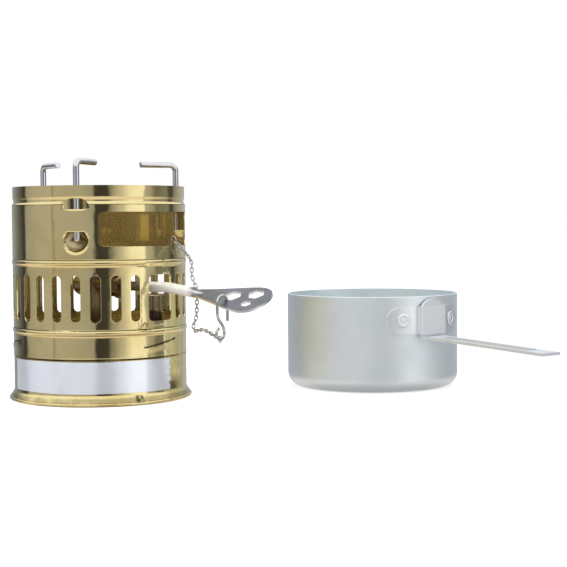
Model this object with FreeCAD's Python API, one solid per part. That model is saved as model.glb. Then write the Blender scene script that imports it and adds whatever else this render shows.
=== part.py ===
import FreeCAD, Part
import math
import os

# A small brass pressure stove in its windscreen, with its key on the spindle, and its lid
# standing beside it as a cup.  Millimetres, +Z up.  The origin is the centre of the foot,
# on the floor.  An azimuth is in degrees about +Z from -Y, positive towards +X.

V = FreeCAD.Vector
UP = V(0, 0, 1)

# ---- tank ----
FOOT_OUT = 2.95          # rolled ring that the stove stands on, beyond the tank's side
RIM_TOP_Z = 1.8          # top of that ring
FLARE_OUT = 2.05         # edge of the flared skirt, which stands on the ring, beyond the tank's side
FLARE_TOP_Z = 6.4
TANK_R = 47.05
TANK_WALL = 0.7
SHOULDER_Z = 24.3        # where the side steps in under the windscreen
NECK_STEP = 0.5          # how far it steps in
DOME_Z = 36.9
DOME_CORNER_R = 5.0
BOWL_R = 16.5            # priming bowl round the stem
BOWL_Z = 34.0
BOWL_LIP = 3.0
BASE_Z = 3.7             # top of the raised base plate
PIP_R = 1.5              # dimples that carry the windscreen

SEAT_GAP = 0.05          # between round faces that are screwed, pressed or rolled together

# ---- windscreen ----
SCREEN_WALL = 0.5
SLEEVE_GAP = 0.1         # sleeve over tank neck
SCREEN_TOP_Z = 115.0
SLEEVE_EDGE_Z = 24.6
BEAD_PROUD = 0.45
BEAD_HALF = 1.3
LOW_BEAD_Z = 38.0
MID_BEAD_Z = 74.6
GROOVE_Z = 107.9
GROOVE_DEEP = 0.6
COLLAR_IN = 0.4          # collar is this much smaller than the wall
SLOT_COUNT = 28          # slots' spacings in a whole turn
FRONT_SLOTS = (-5, 8)    # first and last slot in front, in spacings from FRONT_START
FRONT_START = -0.05      # in spacings from azimuth 0
KEY_SLOTS = (4, 5)       # the two that make way for the key's window
BACK_SLOTS = (9.42, 13)  # first slot behind, in spacings, and how many: they don't line up with the front ones
SLOT_WIDTH = 5.2
SLOT_LOW_Z = 43.8
SLOT_HIGH_Z = 68.1
KEY_WINDOW_WIDTH = 16.5
WINDOW_AZ = (14.0, 106.0)
WINDOW_Z = (83.1, 101.2)
WINDOW_CORNER_R = 3.2
LANCE_HALF_AZ = 14.8
LANCE_RISE = 3.8
LANCE_Z = 31.6
LANCE_SLIT = 0.7
LANCE_PROUD = 0.45

# ---- pot supports ----
SUPPORT_AZ = (0.0, 120.0, 240.0)
ROD_R = 1.65
ROD_GAP = 0.09           # running clearance at strap and pocket
COLLAR_GAP = 0.27        # rod to collar
ROD_FOOT_Z = 85.3
POT_Z = 129.3            # where a pot stands
ARM_LENGTH = 21.0
ARM_BEND_R = 3.5
ARM_TURNS = (-12.0, 4.0, -20.0)  # rest headings, from straight inwards
STRAP_Z = (102.2, 108.7)
STRAP_ARCH_R = 9.2
POCKET_TOP_Z = 90.8
POCKET_Z = 87.0
POCKET_R = 7.8

# ---- vaporiser, valve and burner ----
SPINDLE_Z = 61.3
SPINDLE_AZ = 4.5 * 360 / SLOT_COUNT
SPINDLE_R = 2.5
RUN_GAP = 0.05           # radial clearance of every running fit
SQUARE = 3.2             # across flats of the spindle's driving end
SQUARE_LENGTH = 7.2
SQUARE_INSET = 2.9       # square's end, inside the windscreen
STEM_R = 6.2
STEM_BORE_R = 2.6
SPIGOT_R = 5.5
SPIGOT_LENGTH = 4.0
STEM_FLANGE_FLATS = 16.0
STEM_FLANGE_HEIGHT = 3.0
WASHER_THICK = 0.6
BLOCK_R = 6.05
BLOCK_BACK = 18.7
BLOCK_ROUND = 4.6        # its rear end
BLOCK_FRONT = 13.0
GLAND_BORE_R = 3.6
GLAND_DEPTH = 4.5
GLAND_FLATS = 12.0
GLAND_LENGTH = 6.5
PINION_TEETH = 8
PINION_MODULE = 0.35
PINION_HALF = 2.4
REAR_PIVOT_R = 1.2
RACK_HALF = 1.4
RACK_BACK = 1.2          # metal behind the rack's teeth
RACK_TRAVEL = 2.2
CHAMBER_R = 4.3
STEM_TOP_Z = 69.4
NIPPLE_R = 3.0
NIPPLE_FLATS = 7.0
NIPPLE_HEX = 2.0
NIPPLE_TIP = 1.2
JET_R = 0.45
NEEDLE_R = 0.25
WICK_R = 2.4
BELL_R = 17.2
BELL_WALL = 0.8
BELL_RIM_Z = 80.4
BELL_THROAT_Z = 74.5
BELL_COLLAR = 2.0        # height of its collar on the stem
AIR_HOLE_R = 2.1
SPREADER_R = 16.0

# ---- filler ----
FILLER_AZ = 80.0
FILLER_AT = 31.0
FILLER_R = 5.2
FILLER_BORE_R = 3.2
FILLER_TOP_Z = 49.2
FILLER_FLANGE_R = 8.0
FILLER_FLANGE_HEIGHT = 1.2
CAP_R = 8.35
CAP_HEIGHT = 9.0
CAP_SKIRT = 1.7          # skirt below the neck's top
CAP_KNURLS = 36
GASKET_THICK = 1.0
PORT_R = 1.0
RELIEF_R = 2.6           # safety valve's chamber
RELIEF_PIN_R = 0.8
RELIEF_HEAD = 1.0
RELIEF_SCREW = 1.6
SPRING_WIRE_R = 0.2
SPRING_TURNS = 4

# ---- key ----
KEY_SHANK_R = 2.75
KEY_TILT = 25.0          # about the spindle, near edge down
KEY_DROP = 2.7           # plate below the shank
KEY_PITCH = 4.5          # plate slopes down outwards
KEY_BEND_S = 52.0        # shank bends down about here, from the stove's axis
KEY_BEND_R = 30.0
KEY_LAP = 1.0            # shank runs on under the plate
KEY_TAPER = 7.0
SOCKET_INSET = 0.4       # free length at each end of the square's socket
PLATE_S = 70.0           # neck of the plate
PLATE_LENGTH = 48.2
PLATE_HALF = 12.3
PLATE_WIDE_AT = 37.0     # widest place, from the neck
PLATE_NECK_HALF = 3.0
PLATE_THICK = 1.25
HEX_HOLES = ((25.4, 1.0, 8.6), (37.5, 5.2, 8.2), (38.2, -4.7, 5.2))  # along, across, flats

# ---- chain and hook ----
WIRE_R = 0.3             # chain wire
LINK_LONG = 3.5
LINK_WIDE = 2.2
LINK_PITCH = 2.2
LINK_BITE = 0.08         # each link's end short of the one it holds
CHAIN_STEPS = 600
CHAIN_ON_RING = 1.2      # first link, up the ring's outer leg
RING_LONG = 8.6          # oval ring in the windscreen's edge
RING_WIDE = 4.4
RING_WIRE_R = 0.35
RING_ACROSS = 11.5       # beside the spindle's axis
RING_HOLE_R = 1.3
RING_HOLE_DROP = 3.2     # hole below the sill of the lighting window
END_RING_R = 1.6         # round link on the hook's eye
HOOK_PLATE_X = 24.0      # place of the hook along the key's plate
HOOK_WIRE_R = 0.75
HOOK_STRIP_GAP = 0.1     # round the plate's strip as it turns in the bend
HOOK_DROP = 15.4         # strip down to the middle of the eye
HOOK_SHANK = 4.4
HOOK_TIP = 9.2           # free end, below the strip
HOOK_EYE_R = 2.9
HOOK_EYE_SHIFT = -1.6    # eye, across from the strip
# Places that the chain hangs through, as (out along the spindle, across it, up): the first ones
# from the ring, the last ones from the bottom of the hook's eye.
CHAIN_FROM_RING = (
    (3.3, -0.6, -2.2), (6.7, -1.3, -4.6), (12.3, -2.7, -8.4), (14.9, -3.7, -11.4), (15.5, -4.5, -14.4),
    (16.7, -5.1, -19.0), (19.3, -5.4, -23.4), (20.3, -5.7, -29.4),
)
CHAIN_TO_HOOK = (
    (-24.6, 8.9, 12.7), (-24.0, 7.2, 8.2), (-24.7, 6.2, 5.2), (-22.9, 5.4, 3.0), (-19.0, 5.0, 3.6),
    (-13.7, 3.9, 3.6), (-9.1, 2.7, 2.4), (-4.6, 1.5, 1.2),
)
UPPER_LINKS = 23         # links that hang from the ring; the next is left out and the others hang from the hook

# ---- label ----
LABEL_AZ = (-56.5, 66.5)
LABEL_Z = (6.5, 23.3)
FOIL = 0.1

# ---- lid, used as a cup ----
CUP_X = 146.4
CUP_Y = 62.9
CUP_CLEAR = 0.85         # lid over the windscreen's beads, radially
CUP_WALL = 1.0
CUP_HEIGHT = 53.7
CUP_CORNER_R = 8.0
BRACKET_AZ = 43.5
BRACKET_THICK = 1.0
BRACKET_Z = (32.9, 48.1)
BRACKET_HALF_AZ = 31.0
RIVET_AZ = 20.3
RIVET_R = 1.6
RIVET_HEAD_R = 3.9
RIVET_HEAD = 0.6
TONGUE_HALF = 7.9
TONGUE_THICK = 1.6
TONGUE_TOP_Z = 52.1
TONGUE_CROWN_R = 9.0     # its rounded top
TONGUE_SIDE_GAP = 0.3
TONGUE_FACE_GAP = 0.1
TONGUE_STAND = 0.9       # tongue clear of the cup's wall
GRIP_BEND_R = 1.4
GRIP_HALF = 6.8
GRIP_LEG = 2.2
GRIP_REACH = 139.0       # end of the grip, from the cup's axis
GRIP_Z = (30.9, 28.0)    # centre of the grip at its bend and at its end
GRIP_TAB = 11.0          # closed end of the frame
GRIP_ROOT = 7.0          # closed stretch beside the cup

# ---- sizes that follow from those ----
FOOT_R = TANK_R + FOOT_OUT
FLARE_R = TANK_R + FLARE_OUT
NECK_R = TANK_R - NECK_STEP
SCREEN_R = NECK_R + SLEEVE_GAP + SCREEN_WALL
COLLAR_R = SCREEN_R - COLLAR_IN
ROD_AT = COLLAR_R - SCREEN_WALL - COLLAR_GAP - ROD_R
ROD_SEAT = ROD_AT - ROD_R - ROD_GAP          # outer face of strap and pocket behind the rod
SQUARE_END = SCREEN_R - SQUARE_INSET
PITCH_R = PINION_TEETH * PINION_MODULE / 2
RACK_PITCH = math.pi * PINION_MODULE
FILLER_CAP_Z = FILLER_TOP_Z - CAP_SKIRT
CUP_R = SCREEN_R + BEAD_PROUD + CUP_CLEAR + CUP_WALL
TONGUE_IN = CUP_R + TONGUE_STAND
BRACKET_FACE = TONGUE_IN + TONGUE_THICK + TONGUE_FACE_GAP


# ---- helpers ----

def outline(start, *steps):
    """Closed wire in the XZ plane; a step is (x, z), or ((x, z) through, (x, z) end) for an arc."""
    edges = []
    here = V(start[0], 0, start[1])
    for step in steps + (start,):
        if isinstance(step[0], tuple):
            through = V(step[0][0], 0, step[0][1])
            end = V(step[1][0], 0, step[1][1])
            edges.append(Part.Arc(here, through, end).toShape())
        else:
            end = V(step[0], 0, step[1])
            if (end - here).Length > 1e-6:
                edges.append(Part.makeLine(here, end))
        here = end
    return Part.Wire(edges)


def turned(start, *steps):
    """Solid of revolution about Z from an outline of (radius, height) steps."""
    return Part.Face(outline(start, *steps)).revolve(V(0, 0, 0), UP, 360)


def plate(start, *steps, thick):
    """Plate in the XY plane from an outline whose second value is read as Y."""
    flat = outline(start, *steps)
    flat.rotate(V(0, 0, 0), V(1, 0, 0), -90)
    return Part.Face(flat).extrude(V(0, 0, thick))


def tube(outer, inner, low, high):
    return rod(outer, low, high).cut(rod(inner, low - 1, high + 1))


def rod(radius, low, high):
    return Part.makeCylinder(radius, high - low, V(0, 0, low), UP)


def along(radius, start, end):
    """Cylinder on the X axis."""
    return Part.makeCylinder(radius, end - start, V(start, 0, 0), V(1, 0, 0))


def box(x, y, z):
    """Box from three (low, high) pairs."""
    return Part.makeBox(x[1] - x[0], y[1] - y[0], z[1] - z[0], V(x[0], y[0], z[0]))


def hexagon(flats, low, high):
    """Hexagonal prism on Z, corners on the X axis."""
    radius = flats / math.sqrt(3)
    points = [V(radius * math.cos(math.radians(60 * k)), radius * math.sin(math.radians(60 * k)), low)
              for k in range(7)]
    return Part.Face(Part.makePolygon(points)).extrude(V(0, 0, high - low))


def lying(shape):
    """Turn a shape built on Z so that it lies on X."""
    return moved(shape, turn=(V(0, 1, 0), 90))


def moved(shape, by=(0, 0, 0), turn=None):
    copy = shape.copy()
    if turn:
        copy.rotate(V(0, 0, 0), turn[0], turn[1])
    copy.translate(V(*by))
    return copy


def at_azimuth(shape, azimuth):
    """Turn a shape built with X pointing outwards to an azimuth."""
    return moved(shape, turn=(UP, azimuth - 90))


def on_spindle(shape):
    """From the spindle's own frame (X out along it, Z up from its axis) to the stove's."""
    return at_azimuth(moved(shape, by=(0, 0, SPINDLE_Z)), SPINDLE_AZ)


def on_filler(shape):
    return at_azimuth(moved(shape, by=(FILLER_AT, 0, 0)), FILLER_AZ)


def on_cup(shape):
    """From the cup's own frame (X out through its bracket) to the stove's."""
    return moved(at_azimuth(shape, BRACKET_AZ), by=(CUP_X, CUP_Y, 0))


def sector(inner, outer, z, half_azimuth):
    """Ring sector centred on the X axis."""
    ring = Part.makeCylinder(outer, z[1] - z[0], V(0, 0, z[0]), UP, 2 * half_azimuth)
    ring = ring.cut(rod(inner, z[0] - 1, z[1] + 1))
    return moved(ring, turn=(UP, -half_azimuth))


def bent_rod(points, bend_r, radius):
    """Round rod along straight runs joined by tangent arcs."""
    points = [V(*p) for p in points]
    edges = []
    here = points[0]
    for before, corner, after in zip(points, points[1:], points[2:]):
        back = (before - corner).normalize()
        onward = (after - corner).normalize()
        half = back.getAngle(onward) / 2
        reach = bend_r / math.tan(half)
        start = corner + back * reach
        end = corner + onward * reach
        middle = corner + (back + onward).normalize() * (bend_r / math.sin(half) - bend_r)
        edges += [Part.makeLine(here, start), Part.Arc(start, middle, end).toShape()]
        here = end
    edges.append(Part.makeLine(here, points[-1]))
    section = Part.Wire(Part.makeCircle(radius, points[0], points[1] - points[0]))
    return Part.Wire(edges).makePipeShell([section], True, False)


def stadium(half_long, half_wide, thick):
    """Round-ended plate centred on the origin, long along X, rising along Z."""
    straight = half_long - half_wide
    shape = plate((-straight, -half_wide), (straight, -half_wide),
                  ((half_long, 0), (straight, half_wide)), (-straight, half_wide),
                  ((-half_long, 0), (-straight, -half_wide)), thick=thick)
    return shape


# ---- tank ----

def tank_shell():
    """Drawn cup turned upside down: flared skirt, side, neck and dome with its bowl."""
    corner = DOME_CORNER_R * (1 - math.sqrt(0.5))
    inner_r = TANK_R - TANK_WALL
    neck_in = NECK_R - TANK_WALL
    under = DOME_Z - TANK_WALL
    shell = turned(
        (FLARE_R - TANK_WALL, RIM_TOP_Z), (FLARE_R, RIM_TOP_Z),
        ((TANK_R + 0.6, RIM_TOP_Z + 1.9), (TANK_R, FLARE_TOP_Z)),
        (TANK_R, SHOULDER_Z - 0.6), (NECK_R, SHOULDER_Z),
        (NECK_R, DOME_Z - DOME_CORNER_R),
        ((NECK_R - corner, DOME_Z - corner), (NECK_R - DOME_CORNER_R, DOME_Z)),
        (BOWL_R + BOWL_LIP, DOME_Z), (BOWL_R, BOWL_Z), (SPIGOT_R + SEAT_GAP, BOWL_Z),
        (SPIGOT_R + SEAT_GAP, BOWL_Z - TANK_WALL), (BOWL_R + TANK_WALL / 2, BOWL_Z - TANK_WALL),
        (BOWL_R + BOWL_LIP + TANK_WALL / 2, under), (NECK_R - DOME_CORNER_R, under),
        ((NECK_R - TANK_WALL - corner, under - corner), (neck_in, DOME_Z - DOME_CORNER_R)),
        (neck_in, SHOULDER_Z - 0.4), (inner_r, SHOULDER_Z - 1.0), (inner_r, FLARE_TOP_Z),
        ((inner_r + 0.6, RIM_TOP_Z + 1.9), (FLARE_R - TANK_WALL, RIM_TOP_Z)),
    )
    hole = on_filler(rod(FILLER_R + SEAT_GAP, BOWL_Z, DOME_Z + 1))
    shell = shell.cut(hole)
    for k in range(3):
        pip = Part.makeSphere(PIP_R, V(NECK_R - PIP_R + NECK_STEP, 0, LANCE_Z - 3.2))
        pip = pip.cut(rod(NECK_R - TANK_WALL / 2, 0, DOME_Z))
        shell = shell.fuse(at_azimuth(pip, SPINDLE_AZ + 120 * k))
    return shell


def tank_base():
    """Raised disc whose rim is the rolled ring under the skirt."""
    return turned(
        (0, BASE_Z - TANK_WALL), (FOOT_R - 6, BASE_Z - TANK_WALL), (FOOT_R - 1.9, 0), (FOOT_R - 0.7, 0),
        ((FOOT_R, RIM_TOP_Z / 2), (FOOT_R - 0.5, RIM_TOP_Z)), (FOOT_R - 2.1, RIM_TOP_Z),
        (FOOT_R - 5.7, BASE_Z), (0, BASE_Z),
    )


def label():
    """Plain foil round the tank's side."""
    half = (LABEL_AZ[1] - LABEL_AZ[0]) / 2
    return at_azimuth(sector(TANK_R + SEAT_GAP, TANK_R + SEAT_GAP + FOIL, LABEL_Z, half), (LABEL_AZ[0] + LABEL_AZ[1]) / 2)


# ---- windscreen ----

def screen_wall(offset):
    """Outline steps of one face of the windscreen, from its lower edge up."""
    r = SCREEN_R - offset
    collar = COLLAR_R - offset
    steps = [(r + 0.2, SLEEVE_EDGE_Z), (r, SLEEVE_EDGE_Z + 0.9)]
    for bead in (LOW_BEAD_Z, MID_BEAD_Z):
        steps += [(r, bead - BEAD_HALF), ((r + BEAD_PROUD, bead), (r, bead + BEAD_HALF))]
    steps += [
        (r, GROOVE_Z - 1.5), ((r - GROOVE_DEEP, GROOVE_Z), (r - 0.2, GROOVE_Z + 1.6)),
        ((r - 0.05, GROOVE_Z + 3.1), (collar, GROOVE_Z + 4.6)), (collar, SCREEN_TOP_Z),
    ]
    return steps


def backwards(steps):
    """The same path walked the other way."""
    ends = [s[1] if isinstance(s[0], tuple) else s for s in steps]
    out = [ends[-1]]
    for step, end in zip(reversed(steps), reversed(ends[:-1])):
        out.append((step[0], end) if isinstance(step[0], tuple) else end)
    return out


def radial_slot(width, low, high, corner):
    """Cutter along X with rounded corners, for an opening in the wall."""
    cutter = box((SCREEN_R - 8, SCREEN_R + 4), (-width / 2, width / 2), (low, high))
    edges = [e for e in cutter.Edges if abs(e.tangentAt(e.FirstParameter).x) > 0.9]
    return cutter.makeFillet(corner, edges)


def lighting_window():
    half = (WINDOW_AZ[1] - WINDOW_AZ[0]) / 2
    ring = sector(SCREEN_R - 4, SCREEN_R + 3, WINDOW_Z, half)
    corners = [e for e in ring.Edges if e.Curve.TypeId == "Part::GeomLine" and abs(e.tangentAt(0).z) < 0.1]
    ring = ring.makeFillet(WINDOW_CORNER_R, corners)
    return at_azimuth(ring, sum(WINDOW_AZ) / 2)


def pocket_form(radius):
    """Form of a pocket that holds a rod's foot: a ball under an upright cylinder."""
    centre = ROD_SEAT + POCKET_R
    ball = Part.makeSphere(radius, V(centre, 0, POCKET_Z))
    neck = Part.makeCylinder(radius, POCKET_TOP_Z - POCKET_Z, V(centre, 0, POCKET_Z), UP)
    low = box((centre - 20, centre + 20), (-20, 20), (POCKET_Z - 20, POCKET_TOP_Z))
    return ball.common(low).fuse(neck)


def strap_form(radius):
    """Form of a strap pushed in behind a rod."""
    return Part.makeCylinder(radius, STRAP_Z[1] - STRAP_Z[0], V(ROD_SEAT + STRAP_ARCH_R, 0, STRAP_Z[0]), UP)


def lance():
    """Sheet bulged out under a sloping slit, which rides over a dimple of the tank."""
    low = SLEEVE_EDGE_Z + 1.4
    face = SCREEN_R + LANCE_PROUD
    bulge = sector(face - SCREEN_WALL - 0.05, face, (low, LANCE_Z + LANCE_RISE / 2), LANCE_HALF_AZ)
    hollow = sector(SCREEN_R - 4, face - SCREEN_WALL - 0.05, (low + 0.5, LANCE_Z + LANCE_RISE / 2),
                    LANCE_HALF_AZ - 0.8)
    above = box((0, 80), (-40, 40), (0, 20))
    above = moved(above, turn=(V(1, 0, 0), lance_slope()), by=(0, 0, LANCE_Z))
    slit = box((SCREEN_R - 6, SCREEN_R + 6), (-SCREEN_R * math.sin(math.radians(LANCE_HALF_AZ)),
               SCREEN_R * math.sin(math.radians(LANCE_HALF_AZ))), (-LANCE_SLIT / 2, LANCE_SLIT / 2))
    slit = moved(slit, turn=(V(1, 0, 0), lance_slope()), by=(0, 0, LANCE_Z))
    return bulge.cut(above), hollow.cut(above), slit


def lance_slope():
    half = SCREEN_R * math.sin(math.radians(LANCE_HALF_AZ))
    return math.degrees(math.atan(LANCE_RISE / (2 * half)))


def windscreen():
    outer = screen_wall(0)
    inner = backwards(screen_wall(SCREEN_WALL))
    shell = turned(*outer, *inner)
    inside = rod(SCREEN_R - 0.01, 0, SCREEN_TOP_Z)
    for azimuth in SUPPORT_AZ:
        for form, radius in ((pocket_form, POCKET_R), (strap_form, STRAP_ARCH_R)):
            hollow = at_azimuth(form(radius), azimuth)
            skin = at_azimuth(form(radius + SCREEN_WALL), azimuth)
            shell = shell.cut(hollow).fuse(skin.cut(hollow).common(inside))
    for k in range(3):
        bulge, hollow, slit = lance()
        azimuth = SPINDLE_AZ + 120 * k
        shell = shell.fuse(at_azimuth(bulge, azimuth)).cut(at_azimuth(hollow, azimuth))
        shell = shell.cut(at_azimuth(slit, azimuth))
    slot = radial_slot(SLOT_WIDTH, SLOT_LOW_Z, SLOT_HIGH_Z, SLOT_WIDTH / 2 - 0.01)
    front = [FRONT_START + k for k in range(FRONT_SLOTS[0], FRONT_SLOTS[1] + 1) if k not in KEY_SLOTS]
    behind = [BACK_SLOTS[0] + k for k in range(BACK_SLOTS[1])]
    slots = [at_azimuth(slot, k * 360 / SLOT_COUNT) for k in front + behind]
    key_window = radial_slot(KEY_WINDOW_WIDTH, SLOT_LOW_Z - 0.2, SLOT_HIGH_Z - 0.1, 2.5)
    ring_hole = moved(along(RING_HOLE_R, 0, SCREEN_R + 5), by=(0, RING_ACROSS, ring_hole_z() - SPINDLE_Z))
    cutters = slots + [at_azimuth(key_window, SPINDLE_AZ), lighting_window(), on_spindle(ring_hole)]
    return shell.cut(Part.makeCompound(cutters))


# ---- pot supports ----

def pot_support(heading):
    """Rod with a round foot, and an arm that a pot stands on."""
    arm_z = POT_Z - ROD_R
    body = bent_rod(((0, 0, ROD_FOOT_Z + ROD_R), (0, 0, arm_z), (-ARM_LENGTH, 0, arm_z)), ARM_BEND_R, ROD_R)
    foot = Part.makeSphere(ROD_R, V(0, 0, ROD_FOOT_Z + ROD_R))
    body = body.fuse(foot)
    return moved(moved(body, turn=(UP, heading)), by=(ROD_AT, 0, 0))


# ---- vaporiser and valve ----

def vaporiser():
    """Casting: stem with its hexagon, cross block, stuffing box and rack chamber."""
    seat = BOWL_Z + WASHER_THICK
    body = rod(STEM_R, seat, STEM_TOP_Z).fuse(hexagon(STEM_FLANGE_FLATS, seat, seat + STEM_FLANGE_HEIGHT))
    body = body.fuse(rod(SPIGOT_R, BOWL_Z - SPIGOT_LENGTH, seat))
    block = along(BLOCK_R, -BLOCK_BACK, BLOCK_FRONT)
    block = block.makeFillet(BLOCK_ROUND, [e for e in block.Edges if abs(e.BoundBox.XMin + BLOCK_BACK) < 0.01
                                           and e.BoundBox.XLength < 0.01])
    body = body.fuse(on_spindle(block))
    chamber_low = SPINDLE_Z - RACK_TRAVEL - 2.4
    chamber_high = STEM_TOP_Z - 1.8
    body = body.cut(rod(STEM_BORE_R, BOWL_Z - SPIGOT_LENGTH - 1, chamber_low + 1))
    body = body.cut(rod(CHAMBER_R, chamber_low, chamber_high))
    body = body.cut(rod(NIPPLE_R, chamber_high - 1, STEM_TOP_Z + 1))
    bores = along(SPINDLE_R + RUN_GAP, 0, BLOCK_FRONT)
    bores = bores.fuse(along(GLAND_BORE_R, BLOCK_FRONT - GLAND_DEPTH, BLOCK_FRONT + 1))
    bores = bores.fuse(along(REAR_PIVOT_R + RUN_GAP, -BLOCK_BACK + 3, 0))
    return body.cut(on_spindle(bores))


def stem_washer():
    return tube(STEM_FLANGE_FLATS / 2 + 0.5, SPIGOT_R + SEAT_GAP, BOWL_Z, BOWL_Z + WASHER_THICK)


def wick():
    return rod(WICK_R, BASE_Z + 1.3, SPINDLE_Z - RACK_TRAVEL - 3.0)


def jet_nipple():
    """Screwed nozzle with a pierced tip."""
    top = STEM_TOP_Z + NIPPLE_HEX
    body = hexagon(NIPPLE_FLATS, STEM_TOP_Z, top).fuse(rod(NIPPLE_R - SEAT_GAP, STEM_TOP_Z - 1.8, STEM_TOP_Z))
    tip = Part.makeCone(NIPPLE_FLATS / 2 - 0.6, 1.0, NIPPLE_TIP, V(0, 0, top), UP)
    body = body.fuse(tip).cut(rod(JET_R, 0, top + NIPPLE_TIP + 1))
    return body.cut(rod(NIPPLE_R - 1.2, STEM_TOP_Z - 3, top - 0.4))


def spindle():
    """Shaft with a pinion inside the block and a square at its outer end."""
    shaft = along(SPINDLE_R, PINION_HALF + 1.0, SQUARE_END - SQUARE_LENGTH)
    shaft = shaft.fuse(along(REAR_PIVOT_R, -BLOCK_BACK + 4, -PINION_HALF))
    square = box((SQUARE_END - SQUARE_LENGTH - 1, SQUARE_END), (-SQUARE / 2, SQUARE / 2),
                 (-SQUARE / 2, SQUARE / 2))
    square = square.makeChamfer(0.4, [e for e in square.Edges if e.BoundBox.XMin > SQUARE_END - 0.1])
    body = shaft.fuse(moved(square, turn=(V(1, 0, 0), KEY_TILT)))
    core = PITCH_R - 1.15 * PINION_MODULE
    body = body.fuse(along(core, -PINION_HALF, PINION_HALF + 1.0))
    for k in range(PINION_TEETH):
        body = body.fuse(moved(pinion_tooth(core), turn=(V(1, 0, 0), k * 360 / PINION_TEETH)))
    return on_spindle(body)


def pinion_tooth(core):
    """Tooth pointing along +Y, narrow enough to roll in the rack with backlash."""
    root, tip, top = 0.22, 0.09, PITCH_R + 0.8 * PINION_MODULE
    points = [V(-PINION_HALF, core - 0.2, -root), V(-PINION_HALF, core - 0.2, root),
              V(-PINION_HALF, top, tip), V(-PINION_HALF, top, -tip), V(-PINION_HALF, core - 0.2, -root)]
    return Part.Face(Part.makePolygon(points)).extrude(V(2 * PINION_HALF, 0, 0))


def needle():
    """Rack beside the pinion, carrying the wire that clears the jet."""
    base = PITCH_R + 1.1 * PINION_MODULE
    low = -RACK_TRAVEL - 1.4
    top = PITCH_R + 1.15
    half = RACK_PITCH / 4
    bar = box((-RACK_HALF, RACK_HALF), (base, base + RACK_BACK), (low, top + 1.0))
    for k in range(-4, 2):
        z = (k + 0.5) * RACK_PITCH
        root, tip, face = half + 0.01, 0.12, PITCH_R - 0.7 * PINION_MODULE
        points = [V(-RACK_HALF, base + 0.1, z - root), V(-RACK_HALF, face, z - tip), V(-RACK_HALF, face, z + tip),
                  V(-RACK_HALF, base + 0.1, z + root), V(-RACK_HALF, base + 0.1, z - root)]
        bar = bar.fuse(Part.Face(Part.makePolygon(points)).extrude(V(2 * RACK_HALF, 0, 0)))
    bar = bar.fuse(box((-RACK_HALF, RACK_HALF), (-1.0, base + RACK_BACK), (top, top + 1.0)))
    wire = rod(NEEDLE_R, top + 0.5, STEM_TOP_Z + NIPPLE_HEX - SPINDLE_Z - 1.2)
    return on_spindle(bar.fuse(wire))


def gland_ring(inner, outer, start, end):
    return on_spindle(along(outer, start, end).cut(along(inner, start - 1, end + 1)))


def gland_washer():
    back = BLOCK_FRONT - GLAND_DEPTH
    return gland_ring(SPINDLE_R + RUN_GAP, GLAND_BORE_R - SEAT_GAP, back, back + 0.8)


def gland_packing():
    back = BLOCK_FRONT - GLAND_DEPTH
    return gland_ring(SPINDLE_R + RUN_GAP, GLAND_BORE_R - SEAT_GAP, back + 0.8, BLOCK_FRONT - 1.0)


def gland_nut():
    nut = lying(hexagon(GLAND_FLATS, BLOCK_FRONT, BLOCK_FRONT + GLAND_LENGTH))
    cone = Part.makeCone(GLAND_FLATS / 2 + 3, GLAND_FLATS / 2 - 0.4, GLAND_LENGTH, V(BLOCK_FRONT, 0, 0), V(1, 0, 0))
    nut = nut.common(cone).fuse(along(GLAND_BORE_R - SEAT_GAP, BLOCK_FRONT - 1.0, BLOCK_FRONT))
    return on_spindle(nut.cut(along(SPINDLE_R + RUN_GAP, 0, SQUARE_END)))


# ---- burner ----

def burner_bell():
    """Collar on the stem, throat with air holes, and flared bowl."""
    seat = STEM_R + SEAT_GAP
    throat = NIPPLE_FLATS / 2 + 2.7
    wall = BELL_WALL
    bell = turned(
        (seat, STEM_TOP_Z - BELL_COLLAR), (seat + wall, STEM_TOP_Z - BELL_COLLAR), (throat + wall, BELL_THROAT_Z),
        ((BELL_R * 0.72, BELL_THROAT_Z + 2.2), (BELL_R, BELL_RIM_Z - 1.6)), (BELL_R, BELL_RIM_Z),
        (BELL_R - wall, BELL_RIM_Z), (BELL_R - wall, BELL_RIM_Z - 1.0),
        ((BELL_R * 0.72 - wall * 0.6, BELL_THROAT_Z + 3.0), (throat, BELL_THROAT_Z + 0.4)),
        (throat, STEM_TOP_Z), (seat, STEM_TOP_Z),
    )
    hole = along(AIR_HOLE_R, 0, STEM_R + 8)
    for k in range(4):
        bell = bell.cut(at_azimuth(moved(hole, by=(0, 0, STEM_TOP_Z + 2.6)), SPINDLE_AZ + 45 + 90 * k))
    return bell


def flame_spreader():
    """Slotted plate that sits in the bell's rim."""
    low = BELL_RIM_Z - 1.0
    disc = turned((0, BELL_RIM_Z), (SPREADER_R - 1.6, BELL_RIM_Z), (SPREADER_R - 1.2, low),
                  (BELL_R - BELL_WALL, low), (BELL_R - BELL_WALL, BELL_RIM_Z),
                  (SPREADER_R - 1.0, BELL_RIM_Z + 0.8), (0, BELL_RIM_Z + 1.3))
    slit = box((SPREADER_R - 6.5, SPREADER_R - 2.2), (-0.5, 0.5), (low - 1, BELL_RIM_Z + 3))
    return disc.cut(Part.makeCompound([at_azimuth(slit, k * 15) for k in range(24)]))


# ---- filler and its cap ----

def filler_neck():
    body = rod(FILLER_R, DOME_Z - TANK_WALL - 1.5, FILLER_TOP_Z)
    flange = rod(FILLER_FLANGE_R, DOME_Z, DOME_Z + FILLER_FLANGE_HEIGHT)
    return on_filler(body.fuse(flange).cut(rod(FILLER_BORE_R, 0, FILLER_TOP_Z + 1)))


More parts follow.
